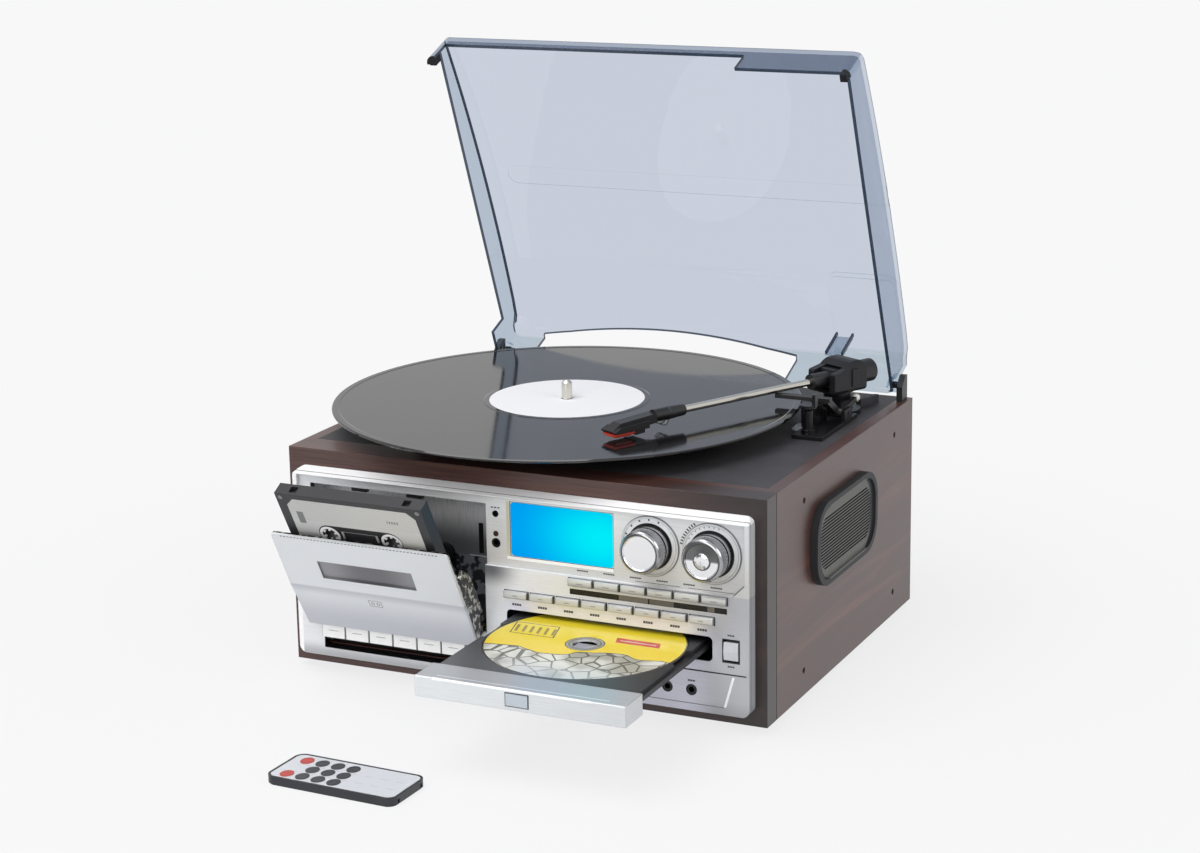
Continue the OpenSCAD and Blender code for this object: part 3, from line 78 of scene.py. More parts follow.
class Field:
    """A number, colour or vector that varies over a surface."""

    def __init__(self, node, out=0):
        self.node, self.out = node, node.outputs[out]
        self.tree = node.id_data

    def maths(self, operation, *values):
        node = self.tree.nodes.new("ShaderNodeMath")
        node.operation = operation
        for i, value in enumerate(values):
            plug(self.tree, value, node.inputs[i])
        return Field(node)

    __add__, __radd__ = two_sided("ADD"), two_sided("ADD", True)
    __sub__, __rsub__ = two_sided("SUBTRACT"), two_sided("SUBTRACT", True)
    __mul__, __rmul__ = two_sided("MULTIPLY"), two_sided("MULTIPLY", True)
    __truediv__, __pow__ = two_sided("DIVIDE"), two_sided("POWER")
    __gt__, __lt__ = two_sided("GREATER_THAN"), two_sided("LESS_THAN")
    at_least, at_most = two_sided("MAXIMUM"), two_sided("MINIMUM")
    wrap = two_sided("FLOORED_MODULO")

    def __abs__(self):
        return self.maths("ABSOLUTE", self)

    def sine(self):
        return self.maths("SINE", self)


def window(across, up, x0, x1, z0, z1):
    """1 inside a rectangle and 0 outside it."""
    return (across > x0) * (across < x1) * (up > z0) * (up < z1)


def distance(a, b):
    return (a * a + b * b) ** 0.5


def plug(tree, value, socket):
    """Links or sets an input. A colour of three numbers is an 8-bit screen colour."""
    if isinstance(value, Field):
        tree.links.new(value.out, socket)
    elif socket.type == "RGBA" and len(value) == 3:
        socket.default_value = [c / 255 / 12.92 if c < 10.3 else ((c / 255 + 0.055) / 1.055) ** 2.4
                                for c in value] + [1.0]
    else:
        socket.default_value = value


def add_node(tree, kind, settings=None, out=0, **values):
    """A new node. Its inputs go by name, with _ for a space, or by number, such as i0."""
    node = tree.nodes.new(kind)
    for key, value in (settings or {}).items():
        setattr(node, key, value)
    for key, value in values.items():
        plug(tree, value, node.inputs[int(key[1:]) if key[1:].isdigit() else key.replace("_", " ")])
    return Field(node, out)


# The frame's origin, on the table under the cabinet's middle, in the cabinet's own millimetres
mid_x, mid_y, table_z = 160.5, 129.5, -5


class Finish:
    """A material, made node by node. Lengths are in millimetres in the cabinet's own frame."""

    def __init__(self, name):
        self.material = bpy.data.materials.new(name)
        self.material.use_nodes = True
        self.tree = self.material.node_tree
        self.tree.nodes.clear()
        self.output = self.tree.nodes.new("ShaderNodeOutputMaterial")

    def node(self, kind, settings=None, out=0, **values):
        return add_node(self.tree, "ShaderNode" + kind, settings, out, **values)

    def place(self, centre=(0, 0, 0), scale=(1, 1, 1), turn=(0, 0, 0)):
        """Object coordinates in millimetres from a point of the cabinet, then turned and scaled."""
        moved = self.node("VectorMath", {"operation": "MULTIPLY_ADD"}, i0=self.node("TexCoord", out="Object"),
                          i1=(1000,) * 3, i2=(mid_x - centre[0], mid_y - centre[1], table_z - centre[2]))
        if any(turn):
            moved = self.node("VectorRotate", {"rotation_type": "EULER_XYZ", "invert": True},
                              Vector=moved, Rotation=turn)
        if scale != (1, 1, 1):
            moved = self.node("VectorMath", {"operation": "MULTIPLY"}, i0=moved, i1=scale)
        return moved

    def axes(self, *centre, **turn):
        """The three coordinates of place."""
        node = self.node("SeparateXYZ", Vector=self.place(*centre, **turn)).node
        return Field(node, 0), Field(node, 1), Field(node, 2)

    def noise(self, scale, detail=3, rough=0.5, distortion=0.0, stretch=(1, 1, 1), at=None):
        """Noise drawn out by a stretch, or laid on other coordinates."""
        return self.node("TexNoise", None, "Fac", Vector=at or self.place(scale=stretch), Scale=scale,
                         Detail=detail, Roughness=rough, Distortion=distortion)

    def step(self, value, low, high, a=0.0, b=1.0):
        """Smooth change from a to b while value goes from low to high."""
        return self.node("MapRange", {"interpolation_type": "SMOOTHSTEP"}, Value=value,
                         i1=low, i2=high, i3=a, i4=b)

    def mix(self, fac, a, b):
        return self.node("Mix", {"data_type": "RGBA"}, 2, i0=fac, i6=a, i7=b)

    def paint(self, tone, *layers):
        """A tone with colours laid over it one by one, each where its mask is 1."""
        for mask, colour in layers:
            tone = self.mix(mask, tone, colour)
        return tone

    def bump(self, height, strength, depth, over=None):
        """Relief, also over another normal or over edges rounded by this number of millimetres."""
        values = dict(Strength=strength, Distance=depth / 1000, Height=height)
        if over:
            values["Normal"] = over if isinstance(over, Field) else self.rounded(over)
        return self.node("Bump", **values)

    def rounded(self, radius):
        """Normal that rounds a sharp edge, radius in millimetres."""
        return self.node("Bevel", {"samples": 4}, Radius=radius / 1000)

    def show(self, shader):
        self.tree.links.new(shader.out, self.output.inputs["Surface"])
        return self.material

    def surface(self, **values):
        return self.show(self.node("BsdfPrincipled", **values))


white = (248, 248, 249)
world = bpy.data.worlds.new("white_room")
scene.world = world
world.use_nodes = True
sky = world.node_tree
sky.nodes.clear()
rays = sky.nodes.new("ShaderNodeLightPath")
seen = Field(rays, "Is Camera Ray")
mirrored = Field(rays, "Is Glossy Ray").at_least(Field(rays, "Is Transmission Ray"))
way = add_node(sky, "ShaderNodeSeparateXYZ", i0=add_node(sky, "ShaderNodeTexCoord", out="Generated")).node
height, facing = Field(way, "Z"), Field(way, "Y")
front_gloom = (0.25 - facing).at_least(0.0).at_most(1.0) * (0.75 - height).at_least(0.0).at_most(1.0)
mirror_room = add_node(sky, "ShaderNodeBackground", Strength=0.98 - (front_gloom * 1.35).at_most(0.93))
camera_room = add_node(sky, "ShaderNodeBackground", Color=white, Strength=1.0)
soft_room = add_node(sky, "ShaderNodeBackground", Strength=0.42)
lit = add_node(sky, "ShaderNodeMixShader", i0=mirrored, i1=soft_room, i2=mirror_room)
final = add_node(sky, "ShaderNodeMixShader", i0=seen, i1=lit, i2=camera_room)
sky.links.new(final.out, sky.nodes.new("ShaderNodeOutputWorld").inputs[0])

for name, stand, power, size in (
        ("soft_box_above", (-0.5, -0.7, 1.9), 26, 1.6),
        ("soft_box_front", (0.1, -2.2, 0.9), 17, 1.4),
        ("soft_box_right", (2.0, -0.5, 1.1), 12, 1.2)):
    lamp = bpy.data.lights.new(name, "AREA")
    lamp.energy, lamp.size = power, size
    box = add_object(name, lamp)
    box.matrix_world = Matrix.Translation(stand) @ (
        Vector((0, 0, 0.1)) - Vector(stand)).to_track_quat("-Z", "Y").to_matrix().to_4x4()

floor_mesh = bpy.data.meshes.new("floor")
floor_mesh.from_pydata([(-9, -9, 0), (9, -9, 0), (9, 9, 0), (-9, 9, 0)], [], [(0, 1, 2, 3)])
floor = add_object("floor", floor_mesh)
paper = Finish("white_paper")
path = paper.node("LightPath").node
clean = Field(path, "Is Camera Ray").at_least(Field(path, "Is Glossy Ray")).at_least(
    Field(path, "Is Transmission Ray"))
# The object's shadow lies on the paper round it; further off the paper is plain white
from_middle = paper.node("VectorMath", {"operation": "LENGTH"}, "Value",
                         i0=paper.node("TexCoord", out="Object"))
glow = paper.node("Emission", Color=white, Strength=1.0)
cloth = paper.node("BsdfDiffuse", Color=(0.85, 0.85, 0.85, 1))
floor_mesh.materials.append(paper.show(paper.node(
    "MixShader", i0=clean * paper.step(from_middle, 0.22, 0.55, 0.84, 1.0), i1=cloth, i2=glow)))


# The cabinet: boards with a dark reddish walnut veneer under a satin lacquer. The front
# board's grain runs across, the sides' grain from front to back. Screws hold the sides.
def wear(node, finish):
    """Gives a CAD solid its finish."""
    nodes[node].data.materials.clear()
    nodes[node].data.materials.append(finish)


def walnut(name, stretch, wide):
    """Veneer, its noises drawn out along the boards."""
    veneer = Finish(name)
    wx, wy, wz = veneer.axes()
    board_front, upper_edge = 14.8, 139.2
    grain = veneer.noise(1.1, 4, 0.62, 0.3, stretch)
    streak = veneer.noise(1.0, 3, 0.55, 0.5, wide)
    pores = veneer.noise(1.3, 2, 0.5, stretch=tuple(s * 2.4 for s in stretch))
    # The upper face is painted redder, painted shade darkens the front towards the right, a dark joint ends
    # it
    veneer_and_shade = veneer.paint(
        veneer.mix(veneer.step(grain, 0.3, 0.75), (60, 38, 34), (88, 59, 52)),
        (veneer.step(streak, 0.5, 0.72) * 0.5, (118, 76, 60)),
        (veneer.step(pores, 0.6, 0.8) * 0.6, (38, 24, 22)),
        ((wz > upper_edge) * 0.5, (72, 40, 34)),
        ((wy < board_front) * veneer.step(wx, 200, 316) * 0.85, (26, 19, 18)),
        ((wy > board_front) * (wy < board_front + 0.6) * 0.7, (30, 20, 18)))
    return veneer.surface(Base_Color=veneer_and_shade, Roughness=veneer.step(grain, 0.2, 0.8, 0.34, 0.46),
                          Coat_Weight=0.25, Coat_Roughness=0.3,
                          Normal=veneer.bump(pores, 0.2, 0.12, 0.8))


def speckled(name, dark, light, scale, roughness, noise=(2,), stretch=(1, 1, 1), relief=None, radius=None,
             **values):
    """Two close tones in a fine noise. Roughness is one number, or two that follow the noise."""
    finish = Finish(name)
    fine = finish.noise(scale, *noise, stretch=stretch)
    if relief:
        values["Normal"] = finish.bump(fine, *relief, radius)
    elif radius:
        values["Normal"] = finish.rounded(radius)
    if isinstance(roughness, tuple):
        roughness = finish.step(fine, 0.3, 0.7, *roughness)
    return finish.surface(Base_Color=finish.mix(fine, dark, light), Roughness=roughness, **values)


wear("front_frame", walnut("walnut_across", (0.02, 1, 1), (0.004, 0.06, 0.06)))
wear("side_panels", walnut("walnut_back", (1, 0.02, 1), (0.06, 0.004, 0.06)))
fibreboard = speckled("fibreboard", (46, 38, 35), (66, 56, 50), 0.9, 0.75, (4, 0.7), relief=(0.2, 0.2))
wear("rear_panel", fibreboard)
wear("base_board", fibreboard)
wear("feet", speckled("foot_rubber", (24, 24, 25), (36, 36, 37), 2.5, 0.7, relief=(0.2, 0.1), radius=0.5))
wear("cabinet_screws", speckled("black_screws", (34, 32, 31), (56, 54, 52), 6, (0.35, 0.5), radius=0.15,
                                Metallic=0.9))


# The deck: a dark grey moulding with a fine grain, let into the top of the cabinet. Two
# black hinge posts stand at its rear corners.
def moulding(name, colour, roughness, grain=0.25, radius=0.4, sheen=0.5):
    """Moulded plastic with a fine grain and slight clouds."""
    plastic = Finish(name)
    fine = plastic.noise(3.0, 2, 0.6)
    cloud = plastic.noise(0.05, 2)
    tone = plastic.mix(plastic.step(cloud, 0.3, 0.7), colour, [min(255, c * 1.12 + 2) for c in colour])
    return plastic.surface(Base_Color=tone, Roughness=roughness, Specular_IOR_Level=sheen,
                           Normal=plastic.bump(fine, grain, 0.08, radius))


black_plastic = moulding("black_moulding", (26, 26, 28), 0.36, 0.15, sheen=0.35)
soft_black = moulding("soft_black", (22, 22, 24), 0.6, 0.3, sheen=0.25)
wear("deck_plate", moulding("deck_moulding", (54, 53, 56), 0.55, 0.5, sheen=0.4))
wear("hinge_brackets", black_plastic)


# A speaker in each side, behind a black bezel whose face is a row of thin slats.
speaker = (0, 123.5, 88.5)
grille = Finish("speaker_grille")
gx, gy, gz = grille.axes((mid_x, *speaker[1:]))
inside = distance((abs(gy) - 28.0).at_least(0.0), (abs(gz) - 7.5).at_least(0.0)) < 16.0
# The slats' outer faces inside the bezel are painted lighter: a painted highlight
lit_slat_faces = abs(gx) > 163.9
grille_fine = grille.noise(3, 2)
wear("speaker_grilles", grille.surface(
    Base_Color=grille.paint(grille.mix(grille_fine, (40, 41, 43), (50, 51, 53)),
                            (inside * lit_slat_faces, (104, 104, 101))),
    Roughness=0.5, Specular_IOR_Level=0.22, Normal=grille.bump(grille_fine, 0.15, 0.08, 0.5)))
cone = Finish("speaker_cone")
_, cone_y, cone_z = cone.axes(speaker)
cone_r = distance(cone_y, cone_z)
wear("speakers", cone.surface(Base_Color=cone.mix(cone_r > 12.0, (16, 16, 17), (26, 26, 27)),
                              Roughness=0.75, Normal=cone.bump((cone_r * 2.2).sine(), 0.3, 0.3)))


# The front panel: a silver painted moulding with a sunk face, a sloping upper edge painted
# white as a highlight, round dial rings and rows of holes. Marks are printed round the dials and at the
# buttons.
selector_x, tuning_x, dial_z = 250.1, 289.4, 105.3
front_y, ledge_y, sunk_y = -9.5, -9.3, -6.5
panel = Finish("panel_silver")
px, py, pz = panel.axes()
flake = panel.noise(7, 2, 0.6)
brushed = panel.noise(1.9, 3, 0.6, stretch=(0.025, 1, 1))


def area(x0, x1, z0, z1):
    return window(px, pz, x0, x1, z0, z1)


def from_point(x, z):
    return distance(px - x, pz - z)


# Sunk face: painted reflection, lighter towards the top and darker at the right
upper_lit_tone = panel.paint(
    panel.mix(panel.step(pz, 84, 121), (214, 213, 210), (232, 234, 237)),
    (panel.step(px, 280, 311) * 0.5, (196, 197, 200)))
# Lower face: painted reflection and shade, lighter at the left and darker to the right, a painted shadow at
# the left end under the ledge, darker towards the bottom
lower_lit_tone = panel.paint(
    panel.mix(panel.step(px, 170, 302), (232, 233, 236), (184, 185, 190)),
    (panel.step(px, 168, 146) * panel.step(pz, 66, 79) * 0.9, (88, 91, 95)),
    (panel.step(pz, 18, 9) * 0.8, (160, 161, 164)))
# Painted light: a bluish-white brightening of the face near the disc
light_near_disc = panel.step(px, 150, 165) * panel.step(px, 296, 270) * panel.step(pz, 70, 60)
# Painted highlights: the upper slope, the left edge and the ledge under the display painted white
pale = (pz > 125.2).at_least((py < -9.2) * (px < 10.6)).at_least(
    (py > ledge_y) * (py < -6.7) * area(140, 306, 80.6, 82.4))
# Painted shade: a shadow line round the sunk face, dark walls in all the holes, and dark lines at the foot of
# the dial rings
sunk = (py > -6.75) * (py < -6.2)
outline = sunk * (pz > 124.35) + sunk * (px > 309.2) * (pz > 88.0) + sunk * (px - pz > 221.0)
shaded_holes = ((px - 154.2).wrap(17.35) < 16.6) * area(154.2, 292.4, 62.55, 67.9) + area(296.5, 307.7, 40.7, 55.5)
for back, *edges in ((ledge_y, 197.2, 300.6, 75.2, 80.9), (ledge_y, 154, 292, 39.5, 56.2),
                     (ledge_y, 22, 134, 8.8, 35.5), (-9.4, 269, 312.5, 33.0, 34.2), (-6.2, 12, 300, 36, 123)):
    shaded_holes = shaded_holes + (py > back) * area(*edges)
for hole_x, hole_z, hole_r in ((148, 113.7, 2.1), (148, 101.2, 1.8), (148, 95.4, 3.0), (261.3, 21.1, 3.5),
                               (276.8, 21.1, 3.5), (selector_x, dial_z, 14.3), (tuning_x, dial_z, 14.3)):
    shaded_holes = shaded_holes + (from_point(hole_x, hole_z) < hole_r)
dial_ring_shade = sum(abs(from_point(x, dial_z) - 18.45) < 0.35 for x in (selector_x, tuning_x))
# The narrow dark window under the upper buttons
strip = area(198.3, 299.7, 70.3, 73.8)
glints = area(230.2, 249.0, 70, 74) + area(250.0, 265.5, 70, 74) * 0.8 + area(287.0, 291.5, 70, 74) * 0.9
slanted = (abs(px - pz * 0.2865 - 294.4) < 0.75) * area(297, 305, 12.9, 32.1)
tone = panel.paint(
    panel.mix(pz > 81.5, lower_lit_tone, upper_lit_tone),
    (light_near_disc * 0.9, (238, 238, 255)), (panel.step(brushed, 0.35, 0.7) * 0.14, (150, 151, 156)),
    (pale, (248, 248, 250)), (dial_ring_shade * 0.65, (70, 70, 74)),
    # Bevel of the display's window, painted on the flat face: cream at its left, and white below as a painted
    # highlight
    (area(155.3, 158.1, 86.6, 122.3), (206, 202, 180)), (area(155.3, 226.0, 86.2, 88.2), (250, 250, 248)),
    # A flap over the lower sockets, its slanted end painted bright as a painted highlight
    (slanted, (252, 252, 253)), (area(247.5, 298, 12.4, 12.9), (110, 111, 114)),
    ((shaded_holes + outline * 0.8).at_most(1.0), (14, 14, 16)),
    (strip, panel.mix(glints * 0.8, (26, 25, 22), (124, 120, 110))))
plain = 1 - (shaded_holes + strip + pale).at_most(1.0)
wear("front_panel", panel.surface(
    Base_Color=tone, Metallic=plain * 0.16, Roughness=panel.step(flake, 0.3, 0.7, 0.3, 0.42) - strip * 0.15,
    Coat_Weight=plain * 0.1, Coat_Roughness=0.25,
    Normal=panel.bump(flake + brushed * 0.6, 0.06, 0.05, 0.5)))


def add_piece(name, mesh, finishes, body, stands_for=(), smooth=30):
    """A new piece in the scene: its finishes, soft shading below an angle, and its body."""
    for finish in finishes:
        mesh.materials.append(finish)
    piece = add_object(name, mesh)
    if smooth:
        mesh.shade_smooth()
        mesh.set_sharp_from_angle(angle=radians(smooth))
    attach(piece, body)
    if stands_for:
        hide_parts(*stands_for)
    return piece


def spot(x, y, z):
    """A point of the cabinet, given in millimetres from its left, front and underside."""
    return Vector(((x - mid_x) / 1000, (y - mid_y) / 1000, (z - table_z) / 1000))


def final_mesh(helper):
    """The plain mesh that a helper object makes with its modifiers; the helper is removed."""
    mesh = bpy.data.meshes.new_from_object(helper.evaluated_get(bpy.context.evaluated_depsgraph_get()))
    helper.modifiers.clear()
    bpy.data.objects.remove(helper)
    return mesh


class Recipe:
    """A Geometry Nodes tree that sets out a repeated form; lengths are in metres."""

    def __init__(self, name, **inputs):
        self.tree = bpy.data.node_groups.new(name, "GeometryNodeTree")
        self.tree.interface.new_socket("Geometry", in_out="OUTPUT", socket_type="NodeSocketGeometry")
        for key, kind in inputs.items():
            self.tree.interface.new_socket(key, in_out="INPUT", socket_type="NodeSocket" + kind)
        self.given = self.tree.nodes.new("NodeGroupInput")

    def value(self, key):
        return Field(self.given, key)

    def node(self, kind, settings=None, **values):
        return add_node(self.tree, "GeometryNode" + kind, settings, **values)

    def vector(self, operation, **values):
        return add_node(self.tree, "ShaderNodeVectorMath", {"operation": operation}, **values)

    def compose(self, **values):
        return add_node(self.tree, "ShaderNodeCombineXYZ", **values)

    def end(self, form, finish):
        """Real geometry with one finish."""
        solid = self.node("RealizeInstances", Geometry=form)
        painted = self.node("SetMaterial", Geometry=solid, Material=finish)
        self.tree.links.new(painted.out, self.tree.nodes.new("NodeGroupOutput").inputs[0])
        return self

    def blocks(self, place, finish, **turned):
        """Blocks of one size, each at its place."""
        line = self.node("MeshLine", {"mode": "OFFSET"}, Count=self.value("Count"))
        placed = self.node("SetPosition", Geometry=line, Position=place)
        block = self.node("MeshCube", Size=self.value("Size"))
        return self.end(self.node("InstanceOnPoints", Points=placed, Instance=block, **turned), finish)

    def made(self, **values):
        """The plain mesh for these values of the inputs."""
        carrier = add_object("carrier", bpy.data.meshes.new("carrier"))
        maker = carrier.modifiers.new("maker", "NODES")
        maker.node_group = self.tree
        for item in self.tree.interface.items_tree:
            if item.in_out == "INPUT" and item.name in values:
                maker[item.identifier] = values[item.name]
        return final_mesh(carrier)


def row_recipe(name, finish):
    """Small blocks in groups along a row: how many in all, how many to a group, where the first
    one is, the step inside a group and from group to group, and the size."""
    recipe = Recipe(name, Count="Int", Group="Int", Start="Vector", Step="Vector", Group_step="Vector",
                    Size="Vector")
    number = recipe.node("InputIndex")
    group = number.maths("FLOOR", number / recipe.value("Group"))
    steps = recipe.vector("SCALE", i0=recipe.value("Step"), Scale=number - group * recipe.value("Group"))
    jumps = recipe.vector("SCALE", i0=recipe.value("Group_step"), Scale=group)
    return recipe.blocks(recipe.vector("ADD", i0=recipe.value("Start"),
                                       i1=recipe.vector("ADD", i0=steps, i1=jumps)), finish)


def arc_recipe(name, finish):
    """Small blocks on an arc that faces the front: radius, first angle and step, and the size."""
    recipe = Recipe(name, Count="Int", Middle="Vector", Radius="Float", First="Float", Step="Float",
                    Size="Vector")
    angle = recipe.value("First") + recipe.node("InputIndex") * recipe.value("Step")
    reach = recipe.value("Radius")
    away = recipe.compose(X=angle.maths("COSINE", angle) * reach, Z=angle.maths("SINE", angle) * reach)
    return recipe.blocks(recipe.vector("ADD", i0=away, i1=recipe.value("Middle")), finish,
                         Rotation=recipe.compose(Y=0.0 - angle))


ink = speckled("dark_print", (44, 44, 46), (70, 70, 72), 4, 0.5)
printed_row, printed_arc = row_recipe("printed_row", ink), arc_recipe("printed_arc", ink)
# Each arc: count, middle, radius, first angle, step, width and height; degrees and millimetres
for name, count, middle, radius, first, turn, wide, high in (
        ("selector_dots", 5, (selector_x, -7.6, dial_z), 16.3, 157, -22, 1.1, 1.1),
        ("tuning_bars", 9, (tuning_x, sunk_y, dial_z), 19.9, 168, -5.5, 1.8, 0.9),
        ("tuning_dots", 8, (tuning_x, -7.6, dial_z), 16.2, 150, -11, 0.9, 0.5)):
    add_piece(name, printed_arc.made(
        Count=count, Middle=spot(*middle), Radius=radius / 1000, First=radians(first),
        Step=radians(turn), Size=(wide / 1000, 0.0001, high / 1000)),
              [], "cabinet", smooth=0)
# Each row: count, number in a group, first place, step, steps of the groups, width and height
for name, count, group, first, step, jump_x, jump_z, wide, high in (
        ("lower_marks", 32, 4, (160.1, front_y, 59.0), 1.58, 17.35, 0, 1.3, 1.4),
        ("upper_marks", 30, 5, (202.6, sunk_y, 84.6), 1.5, 17.25, 0, 1.2, 0.9),
        ("upper_lines", 2, 2, (254.5, sunk_y, 82.6), 34, 0, 0, 29, 0.3),
        ("sensor_mark", 3, 3, (145.8, sunk_y, 117.6), 2.2, 0, 0, 1.4, 0.8),
        ("switch_marks", 6, 3, (300.6, front_y, 38.6), 1.5, 0, 19.2, 1.2, 1.0),
        ("socket_marks", 6, 3, (259.7, front_y, 26.8), 1.6, 15.5, 0, 1.3, 1.1)):
    add_piece(name, printed_row.made(
        Count=count, Group=group, Start=spot(*first), Step=(step / 1000, 0, 0),
        Group_step=(jump_x / 1000, 0, jump_z / 1000), Size=(wide / 1000, 0.0001, high / 1000)),
              [], "cabinet", smooth=0)


# The display: a lit blue window, greener to the right, in a pale frame, with a sensor lens
# beside it. The circuit boards behind carry the switches and the sockets.
display = Finish("display_window")
dx, dy, dz = display.axes((158, 0, 88.5))
corner_x, corner_z = (abs(dx - 34.0) - 31.6).at_least(0.0), (abs(dz - 16.85) - 14.5).at_least(0.0)
lit_area = (corner_x * corner_x + corner_z * corner_z < 5.2) * (dy < -4.5)
pale_frame = window(dx, dz, -0.1, 68.1, -0.1, 33.9) * (dy < -4.5) * (1 - lit_area)
sensor = distance(dx + 10.0, dz - 12.7) < 2.0
blue = display.paint(display.mix(display.step(dx, 2, 60), (0, 166, 245), (0, 238, 252)),
                     (((dz - 17.0) / 17.0) ** 2.0 * 0.34, (0, 140, 236)))
unlit = (0, 0, 0)
wear("display_module", display.surface(
    Base_Color=display.paint(display.mix(lit_area, (12, 12, 13), unlit),
                             (pale_frame, (206, 207, 204)), (sensor, (74, 50, 50))),
    Emission_Color=display.mix(lit_area, unlit, blue), Emission_Strength=0.97,
    Roughness=0.3, Specular_IOR_Level=0.0))
circuit = Finish("circuit_green")
tracks = circuit.noise(0.35, 3)
green = circuit.mix(circuit.step(tracks, 0.48, 0.52), (24, 74, 44), (34, 96, 58))
wear("main_board", circuit.surface(
    Base_Color=circuit.mix(circuit.axes()[1] > 232.0, green, (26, 26, 28)),
    Roughness=0.45, Normal=circuit.bump(tracks, 0.2, 0.2)))
sockets = Finish("board_and_sockets")
black = sockets.mix(sockets.noise(1.5, 2), (12, 12, 14), (20, 20, 22))
wear("control_board", sockets.surface(
    Base_Color=sockets.mix(sockets.axes()[1] > 3.9, black, (24, 80, 46)),
    Roughness=0.35, Normal=sockets.rounded(0.3)))


# Push buttons: six silver-grey ones above, eight cream ones below, each a hollow cap on a
# stem. Key caps and the rocker switch are silver lacquered. Each cap has a small sign.
def joined(node):
    """A clean copy of a CAD solid: doubles merged and flat faces made whole."""
    form = bmesh.new()
    form.from_mesh(nodes[node].data)
    bmesh.ops.remove_doubles(form, verts=form.verts, dist=2e-6)
    bmesh.ops.dissolve_limit(form, angle_limit=radians(0.4), verts=form.verts,
                             edges=form.edges, delimit=set())
    return form


def mesh_of(form, name):
    """The mesh of a finished bmesh, which is freed."""
    mesh = bpy.data.meshes.new(name)
    form.to_mesh(mesh)
    form.free()
    return mesh


def eased(node, body, finish, width, shortest=2.0):
    """A copy of a CAD solid with its long sharp edges rounded; it takes the solid's place."""
    form = joined(node)
    weight = form.edges.layers.float.new("bevel_weight_edge")
    for edge in form.edges:
        if len(edge.link_faces) == 2 and edge.calc_length() > shortest / 1000 \
                and edge.calc_face_angle(0) > radians(30):
            edge[weight] = 1
    piece = add_piece(node + "_form", mesh_of(form, node + "_form"), [finish], body, (node,))
    soft = piece.modifiers.new("rounded", "BEVEL")
    soft.limit_method, soft.width, soft.segments = "WEIGHT", width / 1000, 2
    soft.use_clamp_overlap = True


def button_paint(name, colour, row=None):
    """Satin lacquer. A row of caps with signs is given by its left end, its pitch, the middle of a
    cap, the height of the signs, half their width and height, the shade at a cap's foot, and a
    cap's width."""
    cap = Finish(name)
    tone = cap.mix(cap.noise(0.4, 2), colour, [c * 0.95 for c in colour])
    if row:
        left, pitch, middle_x, middle_z, half_x, half_z, foot_shade, width = row
        cx, _, cz = cap.axes()
        off = abs((cx - left).wrap(pitch) - middle_x)
        # Painted shade: darker at each cap's foot and along its side edges, in the gaps between caps; the
        # signs are print
        tone = cap.paint(
            tone, (cap.step(cz, middle_z + 1.2, middle_z - 1.6) * foot_shade, (140, 141, 142)),
            ((off > width / 2 - 0.35) * 0.8, (60, 60, 62)),
            ((off < half_x) * (abs(cz - middle_z) < half_z) * 0.6, (84, 84, 86)))
    return cap.surface(Base_Color=tone, Metallic=0.05, Roughness=0.32, Coat_Weight=0.2,
                       Normal=cap.bump(cap.noise(5, 2), 0.05, 0.05))


grey_cap = button_paint("grey_button", (212, 213, 212), (197.9, 17.25, 7.95, 77.9, 2.2, 0.3, 0.8, 15.9))
cream_cap = button_paint("cream_button", (208, 209, 210), (154.7, 17.35, 7.8, 65.1, 1.6, 0.3, 0.25, 15.6))
key_cap = button_paint("key_silver", (254, 254, 254), (26.6, 17.0, 8.2, 26.6, 3.4, 0.25, 0.0, 16.4))
for name, count, slot, cap, width, shortest in (
        ("top_button", 6, "button_grey", grey_cap, 0.45, 2.0),
        ("lower_button", 8, "button_grey", cream_cap, 0.45, 2.0),
        ("key", 6, "key_silver", key_cap, 0.4, 3.0)):
    for i in range(1, count + 1):
        eased(f"{name}_{i}", f"{name}_{i}_body", cap, width, shortest)
eased("power_switch", "switch", button_paint("switch_silver", (206, 209, 214)), 0.4, 3.0)


# Two turned knobs: polished metal with a bright rim. The left one's face is flat; the right
# one's face is a shallow cone round a small dome, painted darker above as a painted reflection of the dark
# room.
def knob_paint(name, x, dished):
    metal = Finish(name)
    kx, ky, kz = metal.axes((x, 0, dial_z))
    radius = distance(kx, kz)
    face_y, face_r, dome_r = -21.5, 10.6, 5.2
    turn_marks = metal.noise(2, 2, at=metal.node("CombineXYZ", X=radius * 3.0, Z=ky * 2.0))
    face = (ky < face_y) * (radius < face_r)
    tone = metal.paint(metal.mix(face, (168, 168, 171), (238, 238, 240)),
                       ((ky < face_y) * (radius > face_r) * (radius < 11.5), (96, 97, 98)),
                       ((ky > -13.9) * (ky < -12.4), (30, 30, 32)))
    relief = metal.bump(turn_marks, 0.08, 0.05, 0.3)
    if dished:
        sloping = face * (radius > dome_r)
        tone = metal.paint(tone, ((abs(radius - dome_r) < 0.5) * (ky < -21.0), (110, 110, 112)),
                           # Painted reflection: the upper half of the cone darker, as if it mirrored the dark
                           # room
                           (sloping * metal.step(kz, -1.0, 0.6), (112, 113, 112)))
        relief = metal.bump(sloping * (radius - dome_r) * 0.12, 1.0, 1.0, relief)
    return metal.surface(Base_Color=tone, Metallic=1.0, Normal=relief,
                         Roughness=metal.step(turn_marks, 0.3, 0.7, 0.16, 0.3) - face * 0.06)


wear("selector_knob", knob_paint("selector_metal", selector_x, False))
wear("tuning_knob", knob_paint("tuning_metal", tuning_x, True))


# The cassette deck: a grey mechanism in an open bay, a silver door that tips forward with a
# cassette in its holder, and two reel drives. Black catches hold the door's upper edge.
mech = Finish("tape_mechanism")
mx, my, mz = mech.axes()
mech_grain = mech.noise(1.4, 3, stretch=(1, 1, 0.06))
deep_tone = mech.mix(mech.step(mech.noise(0.16, 2), 0.5, 0.56), (46, 47, 52), (126, 129, 135))
